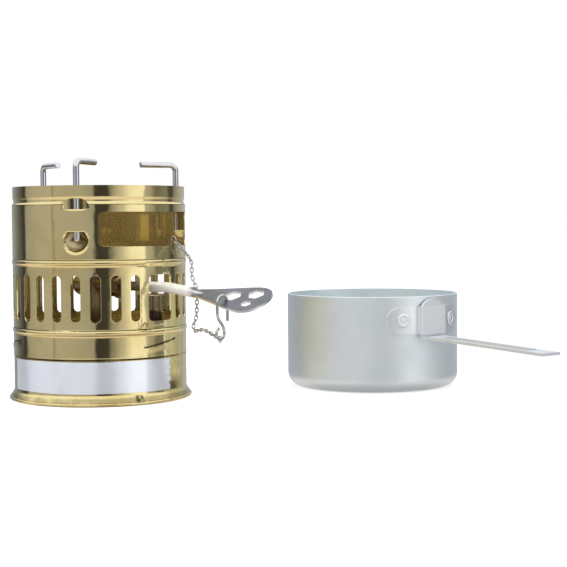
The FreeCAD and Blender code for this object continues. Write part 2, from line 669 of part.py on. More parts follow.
def filler_cap():
    """Knurled cap: screwed skirt below, safety valve's chamber above."""
    low = FILLER_CAP_Z
    roof = FILLER_TOP_Z + GASKET_THICK
    body = rod(CAP_R, low, low + CAP_HEIGHT)
    body = body.makeChamfer(0.6, [e for e in body.Edges if e.BoundBox.ZLength < 0.01])
    groove = Part.makeCylinder(0.42, CAP_HEIGHT - 2.4, V(CAP_R + 0.1, 0, low + 1.2), UP)
    body = body.cut(Part.makeCompound([at_azimuth(groove, k * 360 / CAP_KNURLS) for k in range(CAP_KNURLS)]))
    body = body.cut(rod(FILLER_R + RUN_GAP, low - 1, roof))
    body = body.cut(rod(PORT_R, roof - 1, roof + 2)).cut(rod(RELIEF_R, roof + 1.2, low + CAP_HEIGHT + 1))
    return on_filler(body)


def cap_gasket():
    return on_filler(tube(FILLER_R, PORT_R + 0.2, FILLER_TOP_Z, FILLER_TOP_Z + GASKET_THICK))


def relief_seat_z():
    return FILLER_TOP_Z + GASKET_THICK + 1.2


def relief_pin():
    """Valve of the safety vent: nose in the port, head on its edge, stem through the spring."""
    seat = relief_seat_z()
    pin = rod(RELIEF_R - 0.4, seat, seat + RELIEF_HEAD).fuse(rod(PORT_R - 0.1, seat - 0.9, seat))
    return on_filler(pin.fuse(rod(RELIEF_PIN_R, seat, FILLER_CAP_Z + CAP_HEIGHT - 0.9)))


def relief_screw():
    """Slotted ring that holds the spring down."""
    top = FILLER_CAP_Z + CAP_HEIGHT - 0.3
    ring = tube(RELIEF_R - SEAT_GAP, RELIEF_PIN_R + RUN_GAP, top - RELIEF_SCREW, top)
    return on_filler(ring.cut(box((-4, 4), (-0.35, 0.35), (top - 0.6, top + 1))))


def relief_spring():
    low = relief_seat_z() + RELIEF_HEAD + SPRING_WIRE_R
    high = FILLER_CAP_Z + CAP_HEIGHT - 0.3 - RELIEF_SCREW - SPRING_WIRE_R
    radius = (RELIEF_R + RELIEF_PIN_R) / 2
    steps = 16 * SPRING_TURNS
    points = []
    for k in range(steps + 1):
        angle = 2 * math.pi * k * SPRING_TURNS / steps
        points.append(V(radius * math.cos(angle), radius * math.sin(angle), low + (high - low) * k / steps))
    curve = Part.BSplineCurve()
    curve.interpolate(points)
    section = Part.Wire(Part.makeCircle(SPRING_WIRE_R, points[0], curve.tangent(0)[0]))
    return on_filler(Part.Wire(curve.toShape()).makePipeShell([section], True, True))


# ---- key ----

def key_frame(shape):
    """From the untilted key's frame (X out, Z up from the spindle's axis) to the stove's."""
    return on_spindle(moved(shape, turn=(V(1, 0, 0), KEY_TILT)))


def on_plate(shape):
    """From the plate's frame (X from its neck, Z up from its middle) to the untilted key's."""
    return moved(shape, turn=(V(0, 1, 0), KEY_PITCH), by=(PLATE_S, 0, -KEY_DROP))


def plate_side():
    """One side of the plate's outline, from its neck to its widest place."""
    side = Part.BezierCurve()
    side.setPoles([V(-1, PLATE_NECK_HALF - 0.5, 0), V(6, PLATE_NECK_HALF + 1, 0),
                   V(PLATE_WIDE_AT - 17, PLATE_HALF - 5.2, 0), V(PLATE_WIDE_AT - 6, PLATE_HALF, 0),
                   V(PLATE_WIDE_AT, PLATE_HALF, 0)])
    return side.toShape()


def key():
    """Rolled shank with a square socket, drawn out into a pear-shaped spanner plate."""
    start = SQUARE_END - SQUARE_LENGTH + SOCKET_INSET
    half = PLATE_THICK / 2
    shank = bent_rod(((start, 0, 0), (KEY_BEND_S, 0, 0), (PLATE_S + KEY_LAP, 0, -KEY_DROP)), KEY_BEND_R,
                     KEY_SHANK_R)
    neck = Part.makeCone(KEY_SHANK_R, half, KEY_TAPER, V(0, 0, 0), V(1, 0, 0))
    side = plate_side()
    end = Part.BezierCurve()
    end.setPoles([V(PLATE_WIDE_AT, PLATE_HALF, 0), V(PLATE_LENGTH - PLATE_HALF * 0.38, PLATE_HALF, 0),
                  V(PLATE_LENGTH, PLATE_HALF * 0.64, 0), V(PLATE_LENGTH, 0, 0)])
    edges = [side, end.toShape()]
    mirrored = [e.mirror(V(0, 0, 0), V(0, 1, 0)) for e in edges]
    corner = side.Vertexes[0].Point
    back = Part.makeLine(corner, V(corner.x, -corner.y, 0))
    rim = Part.Wire(Part.__sortEdges__(edges + mirrored + [back]))
    pear = moved(Part.Face(rim).extrude(V(0, 0, PLATE_THICK)), by=(0, 0, -half))
    for along_plate, across, flats in HEX_HOLES:
        pear = pear.cut(moved(hexagon(flats, -PLATE_THICK, PLATE_THICK), by=(along_plate, across, 0)))
    socket = SQUARE / 2 + RUN_GAP
    body = shank.fuse(on_plate(pear)).fuse(on_plate(neck))
    body = body.cut(box((start - 1, SQUARE_END + SOCKET_INSET), (-socket, socket), (-socket, socket)))
    return key_frame(body)


# ---- chain and hook ----

def ring_hole_z():
    return WINDOW_Z[0] - RING_HOLE_DROP


def ring_s():
    wall = SCREEN_R - SCREEN_WALL / 2
    return math.sqrt(wall * wall - RING_ACROSS * RING_ACROSS)


def to_stove(point):
    """From (out along the spindle, across it, up) to the stove's frame."""
    return FreeCAD.Rotation(UP, SPINDLE_AZ - 90).multVec(V(*point))


def ring_centre():
    return V(ring_s(), RING_ACROSS, ring_hole_z() + RING_LONG / 2 - RING_WIRE_R)


def chain_ring():
    """Oval ring standing on its end in a hole, round the sill above it."""
    ring = moved(oval(RING_LONG, RING_WIDE, RING_WIRE_R), turn=(V(1, 0, 0), 90))
    ring = moved(ring, turn=(V(0, 1, 0), 90), by=tuple(ring_centre() - V(0, 0, SPINDLE_Z)))
    return on_spindle(ring)


def oval(length, width, wire_r):
    """Oval ring of round wire lying along X, its opening seen from Z."""
    wide = width / 2 - wire_r
    straight = length / 2 - wire_r - wide
    top, low = V(0, wide, 0), V(0, -wide, 0)
    out = V(straight, 0, 0)
    path = Part.Wire([
        Part.makeLine(low - out, low + out), Part.Arc(low + out, out + V(wide, 0, 0), top + out).toShape(),
        Part.makeLine(top + out, top - out), Part.Arc(top - out, -out - V(wide, 0, 0), low - out).toShape(),
    ])
    section = Part.Wire(Part.makeCircle(wire_r, low - out, V(1, 0, 0)))
    return path.makePipeShell([section], True, False)


def chain_line():
    """The line the chain hangs in, as short runs between the ring and the hook's eye."""
    leg = ring_centre() + V(RING_WIDE / 2 - RING_WIRE_R, 0, CHAIN_ON_RING)
    eye = eye_bottom()
    first = leg - V(2 * RING_WIRE_R, 0, 0)
    near = V(*CHAIN_TO_HOOK[-1]).normalize()
    bow = LINK_LONG / 2 - 2 * WIRE_R - LINK_PITCH / 2
    last = eye + near * (end_ring_shift() + END_RING_R - WIRE_R - LINK_BITE + bow)
    places = [first] + [leg + V(*p) for p in CHAIN_FROM_RING] + [eye + V(*p) for p in CHAIN_TO_HOOK] + [last]
    curve = Part.BSplineCurve()
    curve.interpolate([to_stove(p) for p in places])
    return curve.toShape().discretize(CHAIN_STEPS)


def chain_links():
    """Every link of the chain in its place: one after another they stand a quarter turn apart."""
    points = chain_line()
    runs = [b - a for a, b in zip(points, points[1:])]
    total = sum(r.Length for r in runs)
    count = int(round(total / LINK_PITCH))
    places, frames = [], []
    side = V(0, 0, 1)
    for k in range(count):
        place, ahead = point_along(points, runs, (k + 0.5) * total / count)
        side = (side - ahead * side.dot(ahead)).normalize()
        places.append(place)
        frames.append(FreeCAD.Rotation(ahead, side.cross(ahead), side, "XZY"))
    level = frames[-1].inverted().multVec(UP)
    lean = math.degrees(math.atan2(-level.y, level.z)) - 90 * (count - 1)
    lean = (lean + 90) % 180 - 90
    link = oval(LINK_LONG, LINK_WIDE, WIRE_R)
    links = []
    for k in range(count):
        spin = FreeCAD.Rotation(V(1, 0, 0), 90 * k + lean * k / (count - 1))
        copy = link.copy()
        copy.Placement = FreeCAD.Placement(places[k], frames[k].multiply(spin))
        links.append(copy)
    return links


def end_ring_shift():
    """Centre of the end ring from the wire it hangs on."""
    return END_RING_R - WIRE_R - HOOK_WIRE_R - LINK_BITE


def chain_end():
    """Round link through the chain's last one and round the hook's eye."""
    near = V(*CHAIN_TO_HOOK[-1]).normalize()
    centre = eye_bottom() + near * end_ring_shift()
    normal = near.cross(V(0, 0, 1)).normalize()
    return Part.makeTorus(END_RING_R, WIRE_R, to_stove(centre), to_stove(normal))


def chain_start():
    return chain_links()[0]


def chain_upper():
    return Part.makeCompound(chain_links()[1:UPPER_LINKS])


def chain_lower():
    return Part.makeCompound(chain_links()[UPPER_LINKS + 1:])


def point_along(points, runs, distance):
    """Place and direction of a link, from the chord it spans."""
    reach = LINK_PITCH / 2
    start = on_route(points, runs, distance - reach)
    end = on_route(points, runs, distance + reach)
    return (start + end) * 0.5, (end - start).normalize()


def on_route(points, runs, distance):
    for point, run in zip(points, runs):
        if distance <= run.Length or run is runs[-1]:
            return point + run * (distance / run.Length)
        distance -= run.Length


def hook_strip():
    """Strip of the plate between its first hole and its near edge: its half-width, and its centre
    as (out along the spindle, across it, up from it)."""
    across, flats = HEX_HOLES[0][1:]
    cross = Part.makeLine(V(HOOK_PLATE_X, 0, 0), V(HOOK_PLATE_X, 2 * PLATE_HALF, 0))
    plate_edge = -cross.distToShape(plate_side())[1][0][0].y
    hole_edge = across - flats / 2
    middle = V(HOOK_PLATE_X, (hole_edge + plate_edge) / 2, 0)
    pitch = FreeCAD.Rotation(V(0, 1, 0), KEY_PITCH)
    tilt = FreeCAD.Rotation(V(1, 0, 0), KEY_TILT)
    return (hole_edge - plate_edge) / 2, tilt.multVec(pitch.multVec(middle) + V(PLATE_S, 0, -KEY_DROP))


def eye_bottom():
    return hook_strip()[1] + V(0, HOOK_EYE_SHIFT, SPINDLE_Z - HOOK_DROP - HOOK_EYE_R)


def s_hook():
    """Wire hook in the plane across the spindle: bend over the plate's strip, eye below."""
    half, strip = hook_strip()
    top = math.hypot(half, PLATE_THICK / 2) + HOOK_STRIP_GAP + HOOK_WIRE_R
    left, right = V(0, -top, 0), V(0, top, 0)
    tip = V(0, top, -HOOK_TIP)
    shank = V(0, -top, -HOOK_SHANK)
    eye = V(0, HOOK_EYE_SHIFT, -HOOK_DROP)
    far, near = eye + V(0, HOOK_EYE_R, 0), eye - V(0, HOOK_EYE_R, 0)
    middle = (shank + far) * 0.5
    curl = eye + V(0, -HOOK_EYE_R * 0.4, HOOK_EYE_R * 0.95)
    path = Part.Wire([
        Part.makeLine(tip, right), Part.Arc(right, V(0, 0, top), left).toShape(), Part.makeLine(left, shank),
        tangent_arc(shank, V(0, 0, -1), middle), tangent_arc(far, V(0, 0, 1), middle),
        Part.Arc(far, eye - V(0, 0, HOOK_EYE_R), near).toShape(), tangent_arc(near, V(0, 0, 1), curl),
    ])
    section = Part.Wire(Part.makeCircle(HOOK_WIRE_R, tip, UP))
    hook = path.makePipeShell([section], True, False)
    return on_spindle(moved(hook, by=tuple(strip)))


def tangent_arc(start, direction, end):
    """Arc from start, leaving it along direction, to end."""
    chord = end - start
    side = chord - direction * chord.dot(direction)
    normal = side.normalize()
    radius = chord.dot(chord) / (2 * chord.dot(normal))
    centre = start + normal * radius
    middle = centre + ((start + end) * 0.5 - centre).normalize() * radius
    return Part.Arc(start, middle, end).toShape()


# ---- lid, used as a cup ----

def cup():
    """Drawn pan, open above."""
    outer, inner = CUP_CORNER_R, CUP_CORNER_R - CUP_WALL
    bend = 1 - math.sqrt(0.5)
    wall_in = CUP_R - CUP_WALL
    shell = turned(
        (0, 0), (CUP_R - outer, 0), ((CUP_R - outer * bend, outer * bend), (CUP_R, outer)),
        (CUP_R, CUP_HEIGHT), (wall_in, CUP_HEIGHT), (wall_in, outer),
        ((wall_in - inner * bend, CUP_WALL + inner * bend), (wall_in - inner, CUP_WALL)), (0, CUP_WALL),
    )
    return on_cup(shell.cut(rivet_bores()))


def rivet_z():
    return sum(BRACKET_Z) / 2


def rivet_bores():
    bore = moved(along(RIVET_R + SEAT_GAP, CUP_R - 5, CUP_R + 5), by=(0, 0, rivet_z()))
    return Part.makeCompound([moved(bore, turn=(UP, a)) for a in (-RIVET_AZ, RIVET_AZ)])


def cup_bracket():
    """Strap on the cup's side: two round-ended lugs and a square loop for the handle."""
    height = BRACKET_Z[1] - BRACKET_Z[0]
    seat = CUP_R + SEAT_GAP
    band = sector(seat, seat + BRACKET_THICK, BRACKET_Z, BRACKET_HALF_AZ + 4)
    reach = (CUP_R + BRACKET_THICK) * math.sin(math.radians(BRACKET_HALF_AZ))
    form = moved(stadium(reach, height / 2, 80), turn=(V(1, 0, 0), 90))
    form = moved(moved(form, turn=(UP, 90)), by=(0, 0, rivet_z()))
    band = band.common(form)
    inside = TONGUE_HALF + TONGUE_SIDE_GAP
    outside = inside + BRACKET_THICK
    loop = box((CUP_R - 3, BRACKET_FACE + BRACKET_THICK), (-outside, outside), BRACKET_Z)
    edges = [e for e in loop.Edges if e.BoundBox.ZLength > 1 and e.BoundBox.XMin > CUP_R]
    loop = loop.makeFillet(0.8, edges)
    hollow = box((0, BRACKET_FACE), (-inside, inside), (BRACKET_Z[0] - 1, BRACKET_Z[1] + 1))
    body = band.fuse(loop).cut(hollow).cut(rod(seat, 0, CUP_HEIGHT))
    return on_cup(body.cut(rivet_bores()))


def cup_rivets():
    """Two rivets: ringed heads on the lugs and low heads inside the cup."""
    face = CUP_R + SEAT_GAP + BRACKET_THICK
    inner = CUP_R - CUP_WALL
    sag = 0.15
    seat = face + sag
    shank = turned((0, inner - 0.8), (RIVET_R + 1.2, inner - 0.8), (RIVET_R + 1.4, inner - sag),
                   (RIVET_R, inner - sag), (RIVET_R, seat), (RIVET_HEAD_R, seat), (RIVET_HEAD_R, seat + 0.2),
                   (RIVET_HEAD_R - 0.6, seat + RIVET_HEAD), (RIVET_HEAD_R - 1.5, seat + RIVET_HEAD),
                   (RIVET_HEAD_R - 1.9, seat + 0.3), (RIVET_R, seat + 0.3), (RIVET_R - 0.4, seat + RIVET_HEAD),
                   (0, seat + RIVET_HEAD))
    rivet = moved(lying(shank), by=(0, 0, rivet_z()))
    return on_cup(Part.makeCompound([moved(rivet, turn=(UP, a)) for a in (-RIVET_AZ, RIVET_AZ)]))


def cup_handle():
    """Bent flat frame: a tongue up through the bracket, and a slotted grip."""
    x = TONGUE_IN
    t = TONGUE_THICK
    bend = GRIP_BEND_R
    low, far = GRIP_Z[0] - t / 2, GRIP_Z[1] - t / 2
    start = x + bend + t
    curve = bend * math.sqrt(0.5)
    side = outline(
        (x, TONGUE_TOP_Z), (x + t, TONGUE_TOP_Z), (x + t, low + bend + t),
        ((start - curve, low + bend + t - curve), (start, low + t)), (GRIP_REACH, far + t),
        (GRIP_REACH, far), (start, low),
        ((start - (bend + t) * math.sqrt(0.5), low + (bend + t) * (1 - math.sqrt(0.5))), (x, low + bend + t)),
    )
    body = moved(Part.Face(side).extrude(V(0, 2 * TONGUE_HALF, 0)), by=(0, -TONGUE_HALF, 0))
    trim = GRIP_HALF
    waist = start + 1.0
    keep = plate((x - 5, -TONGUE_HALF), (waist, -TONGUE_HALF), (waist + 3, -trim), (GRIP_REACH, -trim),
                 (GRIP_REACH, trim), (waist + 3, trim), (waist, TONGUE_HALF), (x - 5, TONGUE_HALF), thick=99)
    body = body.common(keep)
    round_z = TONGUE_TOP_Z - TONGUE_CROWN_R
    crown = Part.makeCylinder(TONGUE_CROWN_R, 20, V(CUP_R - 5, 0, round_z), V(1, 0, 0))
    crown = crown.fuse(box((CUP_R - 5, CUP_R + 15), (-99, 99), (0, round_z)))
    body = body.common(crown.fuse(box((CUP_R + 14, 999), (-99, 99), (-99, 99))))
    inner = GRIP_HALF - GRIP_LEG
    slot_low, slot_high = start + GRIP_ROOT, GRIP_REACH - GRIP_TAB
    slot = moved(stadium((slot_high - slot_low) / 2, inner, 99), by=((slot_low + slot_high) / 2, 0, 0))
    return on_cup(body.cut(slot))


# ---- write every sub-part ----

PARTS = {
    "tank_shell": tank_shell, "tank_base": tank_base, "label_foil": label, "windscreen": windscreen,
    "vaporiser": vaporiser, "stem_washer": stem_washer, "wick": wick, "jet_nipple": jet_nipple,
    "spindle": spindle, "cleaning_needle": needle, "gland_washer": gland_washer,
    "gland_packing": gland_packing, "gland_nut": gland_nut, "burner_bell": burner_bell,
    "flame_spreader": flame_spreader, "filler_neck": filler_neck, "filler_cap": filler_cap,
    "cap_gasket": cap_gasket, "relief_pin": relief_pin, "relief_spring": relief_spring,
    "relief_screw": relief_screw, "key": key, "chain_ring": chain_ring,
    "chain_start": chain_start, "chain_upper": chain_upper, "chain_lower": chain_lower, "chain_end": chain_end,
    "s_hook": s_hook, "cup": cup, "cup_bracket": cup_bracket, "cup_rivets": cup_rivets, "cup_handle": cup_handle,
}
for number, (azimuth, heading) in enumerate(zip(SUPPORT_AZ, ARM_TURNS), 1):
    PARTS[f"pot_support_{number}"] = lambda azimuth=azimuth, heading=heading: at_azimuth(pot_support(heading), azimuth)

os.makedirs("parts", exist_ok=True)
for name, make in PARTS.items():
    shape = make()
    shape.exportStep(f"parts/{name}.step")
    print(f"{name:16} solids {len(shape.Solids):3} valid {shape.isValid()} volume {shape.Volume:10.2f}")
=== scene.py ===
import math

import bpy
import numpy as np
from mathutils import Matrix


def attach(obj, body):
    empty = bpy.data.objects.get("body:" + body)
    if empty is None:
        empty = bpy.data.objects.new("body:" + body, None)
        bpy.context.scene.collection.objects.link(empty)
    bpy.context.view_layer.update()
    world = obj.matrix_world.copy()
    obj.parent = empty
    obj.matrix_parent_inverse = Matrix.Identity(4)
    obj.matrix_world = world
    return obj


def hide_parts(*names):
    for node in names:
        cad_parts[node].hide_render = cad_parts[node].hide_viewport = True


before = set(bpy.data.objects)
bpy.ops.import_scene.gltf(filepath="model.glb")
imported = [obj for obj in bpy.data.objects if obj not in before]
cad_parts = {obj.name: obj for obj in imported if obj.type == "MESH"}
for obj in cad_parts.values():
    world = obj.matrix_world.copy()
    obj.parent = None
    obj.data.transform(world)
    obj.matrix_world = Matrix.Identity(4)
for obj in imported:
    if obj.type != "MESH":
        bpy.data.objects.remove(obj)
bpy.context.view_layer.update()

# ---- camera ----
# A long lens 0.74 m from the stove, a little to its right and about as high as its flame.
lens = bpy.data.cameras.new("camera")
lens.lens = 83.86
lens.sensor_width = 36.0
lens.clip_start = 0.01
camera = bpy.data.objects.new("camera", lens)
camera.matrix_world = Matrix(((0.99211, 0.00100, 0.12534, 0.19189),
                              (0.12515, 0.04738, -0.99101, -0.71013),
                              (-0.00693, 0.99888, 0.04688, 0.09551),
                              (0.0, 0.0, 0.0, 1.0)))
bpy.context.collection.objects.link(camera)
bpy.context.scene.camera = camera
bpy.context.scene.view_settings.view_transform = "Standard"


# ---- studio ----
# A white room. Tall grey and black cards stand all round it, so that polished metal shows
# upright bands, under a white ceiling and over a warm white floor.
class Signal:
    """A shader socket used as a number: a sum written with it adds the Math nodes for it."""

    def __init__(self, graph, socket):
        self.graph, self.socket = graph, socket

    def maths(self, operation, first, second):
        """A Math node on two numbers, either of them a socket."""
        return self.graph.node("ShaderNodeMath", {"operation": operation}, {0: first, 1: second})

    def __add__(self, other):
        return self.maths("ADD", self, other)

    def __radd__(self, other):
        return self.maths("ADD", other, self)

    def __sub__(self, other):
        return self.maths("SUBTRACT", self, other)

    def __rsub__(self, other):
        return self.maths("SUBTRACT", other, self)

    def __mul__(self, other):
        return self.maths("MULTIPLY", self, other)

    def __rmul__(self, other):
        return self.maths("MULTIPLY", other, self)


class Graph:
    """The node tree of one finish, or of the room."""

    def __init__(self, owner):
        owner.use_nodes = True
        self.tree = owner.node_tree
        self.tree.nodes.clear()

    def node(self, kind, settings=None, inputs=None, output=0):
        """Adds a node: its settings first, then the values or links of its sockets."""
        made = self.tree.nodes.new(kind)
        for name, value in (settings or {}).items():
            if name == "stops":
                ramp = made.color_ramp
                while len(ramp.elements) < len(value):
                    ramp.elements.new(0.5)
                for element, (place, colour) in zip(ramp.elements, value):
                    element.position, element.color = place, (*colour, 1.0)
            else:
                setattr(made, name, value)
        for name, value in (inputs or {}).items():
            if isinstance(value, Signal):
                self.tree.links.new(value.socket, made.inputs[name])
            else:
                made.inputs[name].default_value = value
        return Signal(self, made.outputs[output]) if made.outputs else made

    def split(self, vector):
        """The three parts of a place."""
        parts = self.node("ShaderNodeSeparateXYZ", inputs={0: vector}).socket.node.outputs
        return [Signal(self, part) for part in parts]

    def mix(self, share, first, second):
        """Colours mixed: first where share is 0, second where it is 1."""
        first, second = [c if isinstance(c, Signal) else (*c, 1.0) for c in (first, second)]
        return self.node("ShaderNodeMix", {"data_type": "RGBA"}, {0: share, 6: first, 7: second},
                         output=2)

    def ease(self, value, low, high):
        """0 below low, 1 above high, and a smooth step between."""
        return self.node("ShaderNodeMapRange", {"interpolation_type": "SMOOTHSTEP"}, {
            "Value": value, "From Min": low, "From Max": high, "To Min": 0.0, "To Max": 1.0})

    def noise(self, where, scale, detail, roughness=0.5, kind="FBM", distortion=0.0):
        """Cloudy grain from 0 to 1, with scale lumps to the metre."""
        return self.node("ShaderNodeTexNoise", {"noise_type": kind}, {
            "Vector": where, "Scale": scale, "Detail": detail, "Roughness": roughness,
            "Distortion": distortion})

    def bump(self, strength, depth, height, under=None):
        """Normal of a surface that rises by depth, in metres, as height goes from 0 to 1, on top
        of the unevenness whose normal is under."""
        sockets = {"Strength": strength, "Distance": depth, "Height": height}
        if under is not None:
            sockets["Normal"] = under
        return self.node("ShaderNodeBump", inputs=sockets)

    def surface(self, colour, metallic, roughness, normal):
        """Ends a finish with one shader."""
        shader = self.node("ShaderNodeBsdfPrincipled", inputs={
            "Base Color": colour, "Metallic": metallic, "Roughness": roughness, "Normal": normal})
        self.node("ShaderNodeOutputMaterial", inputs={"Surface": shader})


CARDS = (                # azimuth from -Y towards +X in degrees, then the card's colour there
    (-180.0, (0.42, 0.45, 0.52)), (-163.0, (0.36, 0.39, 0.46)), (-140.0, (0.30, 0.33, 0.40)),
    (-118.0, (0.14, 0.16, 0.20)), (-104.0, (0.05, 0.055, 0.07)), (-99.0, (0.05, 0.055, 0.07)),
    (-95.0, (0.36, 0.37, 0.42)), (-78.0, (0.43, 0.43, 0.47)), (-50.5, (0.46, 0.45, 0.47)),
    (-49.0, (0.34, 0.33, 0.32)), (-46.5, (0.34, 0.33, 0.32)), (-45.0, (0.44, 0.43, 0.44)),
    (-8.0, (0.41, 0.41, 0.43)), (7.5, (0.36, 0.37, 0.42)), (10.0, (0.045, 0.045, 0.05)),
    (26.0, (0.055, 0.055, 0.06)), (30.0, (0.24, 0.24, 0.25)), (37.0, (0.44, 0.44, 0.46)),
    (46.0, (0.62, 0.61, 0.62)), (56.0, (0.95, 0.96, 0.98)), (76.0, (1.04, 1.06, 1.08)),
    (79.0, (0.46, 0.46, 0.50)), (88.0, (0.40, 0.40, 0.43)), (95.0, (0.18, 0.18, 0.18)),
    (106.0, (0.20, 0.21, 0.22)), (117.0, (0.22, 0.23, 0.25)), (124.0, (0.07, 0.07, 0.075)),
    (130.0, (0.07, 0.07, 0.075)), (136.0, (0.24, 0.25, 0.29)), (150.0, (0.38, 0.40, 0.46)),
    (166.0, (0.46, 0.49, 0.56)), (180.0, (0.42, 0.45, 0.52)),
)
studio = bpy.data.worlds.new("studio")
bpy.context.scene.world = studio
room = Graph(studio)
across, away, height = room.split(room.node("ShaderNodeTexCoord", output="Generated"))
heading = room.node("ShaderNodeMath", {"operation": "ARCTAN2"}, {0: across, 1: -1.0 * away})
stops = [(azimuth / 360 + 0.5, colour) for azimuth, colour in CARDS]
cards = room.node("ShaderNodeValToRGB", {"stops": stops}, {0: heading * (0.5 / math.pi) + 0.5})
walls = room.mix(room.ease(height, 0.14, 0.46), cards, (1.0, 1.0, 1.0))
walls = room.mix(room.ease(height, -0.14, -0.42), walls, (0.84, 0.77, 0.73))
walls = room.mix(room.ease(height, -0.50, -0.80), walls, (0.36, 0.34, 0.34))
seen = room.node("ShaderNodeLightPath", output="Is Camera Ray")
backdrop = room.mix(seen, walls, (1.0, 1.0, 1.0))
light = room.node("ShaderNodeBackground", inputs={"Color": backdrop, "Strength": 1.0})
room.node("ShaderNodeOutputWorld", inputs={"Surface": light})

# Soft boxes: one over the stove and one in front of it on the left.
for title, place, aim, wide, power in (
        ("overhead", (0.05, -0.05, 1.15), (0.05, 0.0, 0.0), 0.9, 7.0),
        ("front", (-0.75, -0.95, 0.75), (0.04, 0.0, 0.05), 0.7, 5.0)):
    bulb = bpy.data.lights.new(title, "AREA")
    bulb.size, bulb.energy = wide, power
    lamp = bpy.data.objects.new(title, bulb)
    back = np.array(place) - np.array(aim)
    back = back / np.linalg.norm(back)
    side = np.cross((0.0, 1.0, 0.0) if abs(back[2]) > 0.9 else (0.0, 0.0, 1.0), back)
    side = side / np.linalg.norm(side)
    top = np.cross(back, side)
    lamp.matrix_world = Matrix([*zip(side, top, back, place), (0, 0, 0, 1)])
    lamp.visible_glossy = False
    bpy.context.collection.objects.link(lamp)

# White paper floor that the stove and its lid stand on.
floor_half, floor_z = 3.0, -0.0002
paper = bpy.data.materials.new("paper")
sheet = Graph(paper)
soft = sheet.node("ShaderNodeBsdfDiffuse", inputs={"Color": (0.86, 0.86, 0.86, 1.0)})
pale = sheet.node("ShaderNodeBsdfDiffuse", inputs={"Color": (0.42, 0.42, 0.42, 1.0)})
glow = sheet.node("ShaderNodeEmission", inputs={"Color": (1.0, 1.0, 1.0, 1.0), "Strength": 0.72})
lit = sheet.node("ShaderNodeAddShader", inputs={0: pale, 1: glow})
seen = sheet.node("ShaderNodeLightPath", output="Is Camera Ray")
either = sheet.node("ShaderNodeMixShader", inputs={0: seen, 1: soft, 2: lit})
sheet.node("ShaderNodeOutputMaterial", inputs={"Surface": either})
floor_mesh = bpy.data.meshes.new("floor")
floor_mesh.from_pydata([(x * floor_half, y * floor_half, floor_z)
                        for x, y in ((-1, -1), (1, -1), (1, 1), (-1, 1))], [], [(0, 1, 2, 3)])
floor_mesh.materials.append(paper)
floor = bpy.data.objects.new("floor", floor_mesh)
floor.visible_glossy = False
bpy.context.collection.objects.link(floor)


# ---- tank ----
# Spun brass cup turned upside down: a skirt flared over the foot ring, a plain side, a neck that
# the windscreen slides over, and a dome with a bowl for priming spirit.  Its side is polished.
def unit(vector):
    return vector / np.linalg.norm(vector, axis=-1, keepdims=True)


def rounded(corners, closed=True, steps=5):
    """Outline of (radius, height, fillet) corners in mm, anticlockwise with radius to the right.
    A corner with a fillet becomes the arc that touches both of its sides.  Gives the points, and
    the outward directions at the two ends of each run: an arc's radius, or a straight's side."""
    corners = [tuple(c) + (0.0,) * (3 - len(c)) for c in corners]
    groups = []
    for i, (r, z, fillet) in enumerate(corners):
        here = np.array((r, z))
        if not fillet or (not closed and i in (0, len(corners) - 1)):
            groups.append((here[None], None))
            continue
        back = unit(np.array(corners[i - 1][:2]) - here)
        on = unit(np.array(corners[(i + 1) % len(corners)][:2]) - here)
        half = math.acos(np.clip(back @ on, -1, 1)) / 2
        centre = here + unit(back + on) * fillet / math.sin(half)
        start = here + back * fillet / math.tan(half) - centre
        end = here + on * fillet / math.tan(half) - centre
        left = on[1] * -back[0] - on[0] * -back[1]
        sweep = math.copysign(math.pi - 2 * half, left)
        turn = math.atan2(start[1], start[0]) + np.linspace(0, sweep, steps + 1)
        spokes = np.stack((np.cos(turn), np.sin(turn)), 1)
        groups.append((centre + fillet * spokes, spokes * math.copysign(1, left)))
    places, facings = [], []
    for i, (arc, spokes) in enumerate(groups):
        places.append(arc)
        for k in range(len(arc) - 1):
            facings.append((spokes[k], spokes[k + 1]))
        if closed or i < len(groups) - 1:
            run = groups[(i + 1) % len(groups)][0][0] - arc[-1]
            facings.append((unit(np.array((run[1], -run[0]))),) * 2)
    return np.concatenate(places), np.array(facings)


def turned(outline, columns=288, axis=(0.0, 0.0)):
    """Outline carried round an upright axis: point (i, j) is at radius r_i and height z_i, at
    azimuth 360 j / columns from -Y towards +X.  Runs that end on the axis close in triangles."""
    places, facings = outline
    count, runs = len(places), len(facings)
    azimuth = 2 * np.pi * np.arange(columns) / columns
    out = np.stack((np.sin(azimuth), -np.cos(azimuth), 0 * azimuth), 1)
    points = places[:, None, 0, None] * out + np.array((axis[0], axis[1], 0.0))
    points[..., 2] = places[:, None, 1]
    low = np.arange(runs)[:, None] * columns
    high = (np.arange(runs)[:, None] + 1) % count * columns
    here, there = np.arange(columns), (np.arange(columns) + 1) % columns
    corners = np.stack((low + here, low + there, high + there, high + here), -1)
    lift = np.array((0.0, 0.0, 1.0))
    def facing(end, column):
        side = facings[:, None, end, 0, None] * out[column]
        return side + facings[:, None, end, 1, None] * lift
    normals = np.stack((facing(0, here), facing(0, there), facing(1, there), facing(1, here)), -2)
    on_axis = places[:, 0] < 1e-6
    starts, ends = on_axis[np.arange(runs)], on_axis[(np.arange(runs) + 1) % count]
    whole = ~starts & ~ends
    patches = [(corners[whole].reshape(-1, 4), normals[whole].reshape(-1, 4, 3))]
    for chosen, keep in ((starts & ~ends, (0, 2, 3)), (ends & ~starts, (0, 1, 2))):
        if chosen.any():
            cut = corners[chosen][..., keep].reshape(-1, 3)
            tip = 0 if keep[1] == 2 else 2
            cut[:, tip] = cut[:, tip] // columns * columns
            patches.append((cut, normals[chosen][..., keep, :].reshape(-1, 3, 3)))
    return points.reshape(-1, 3), patches


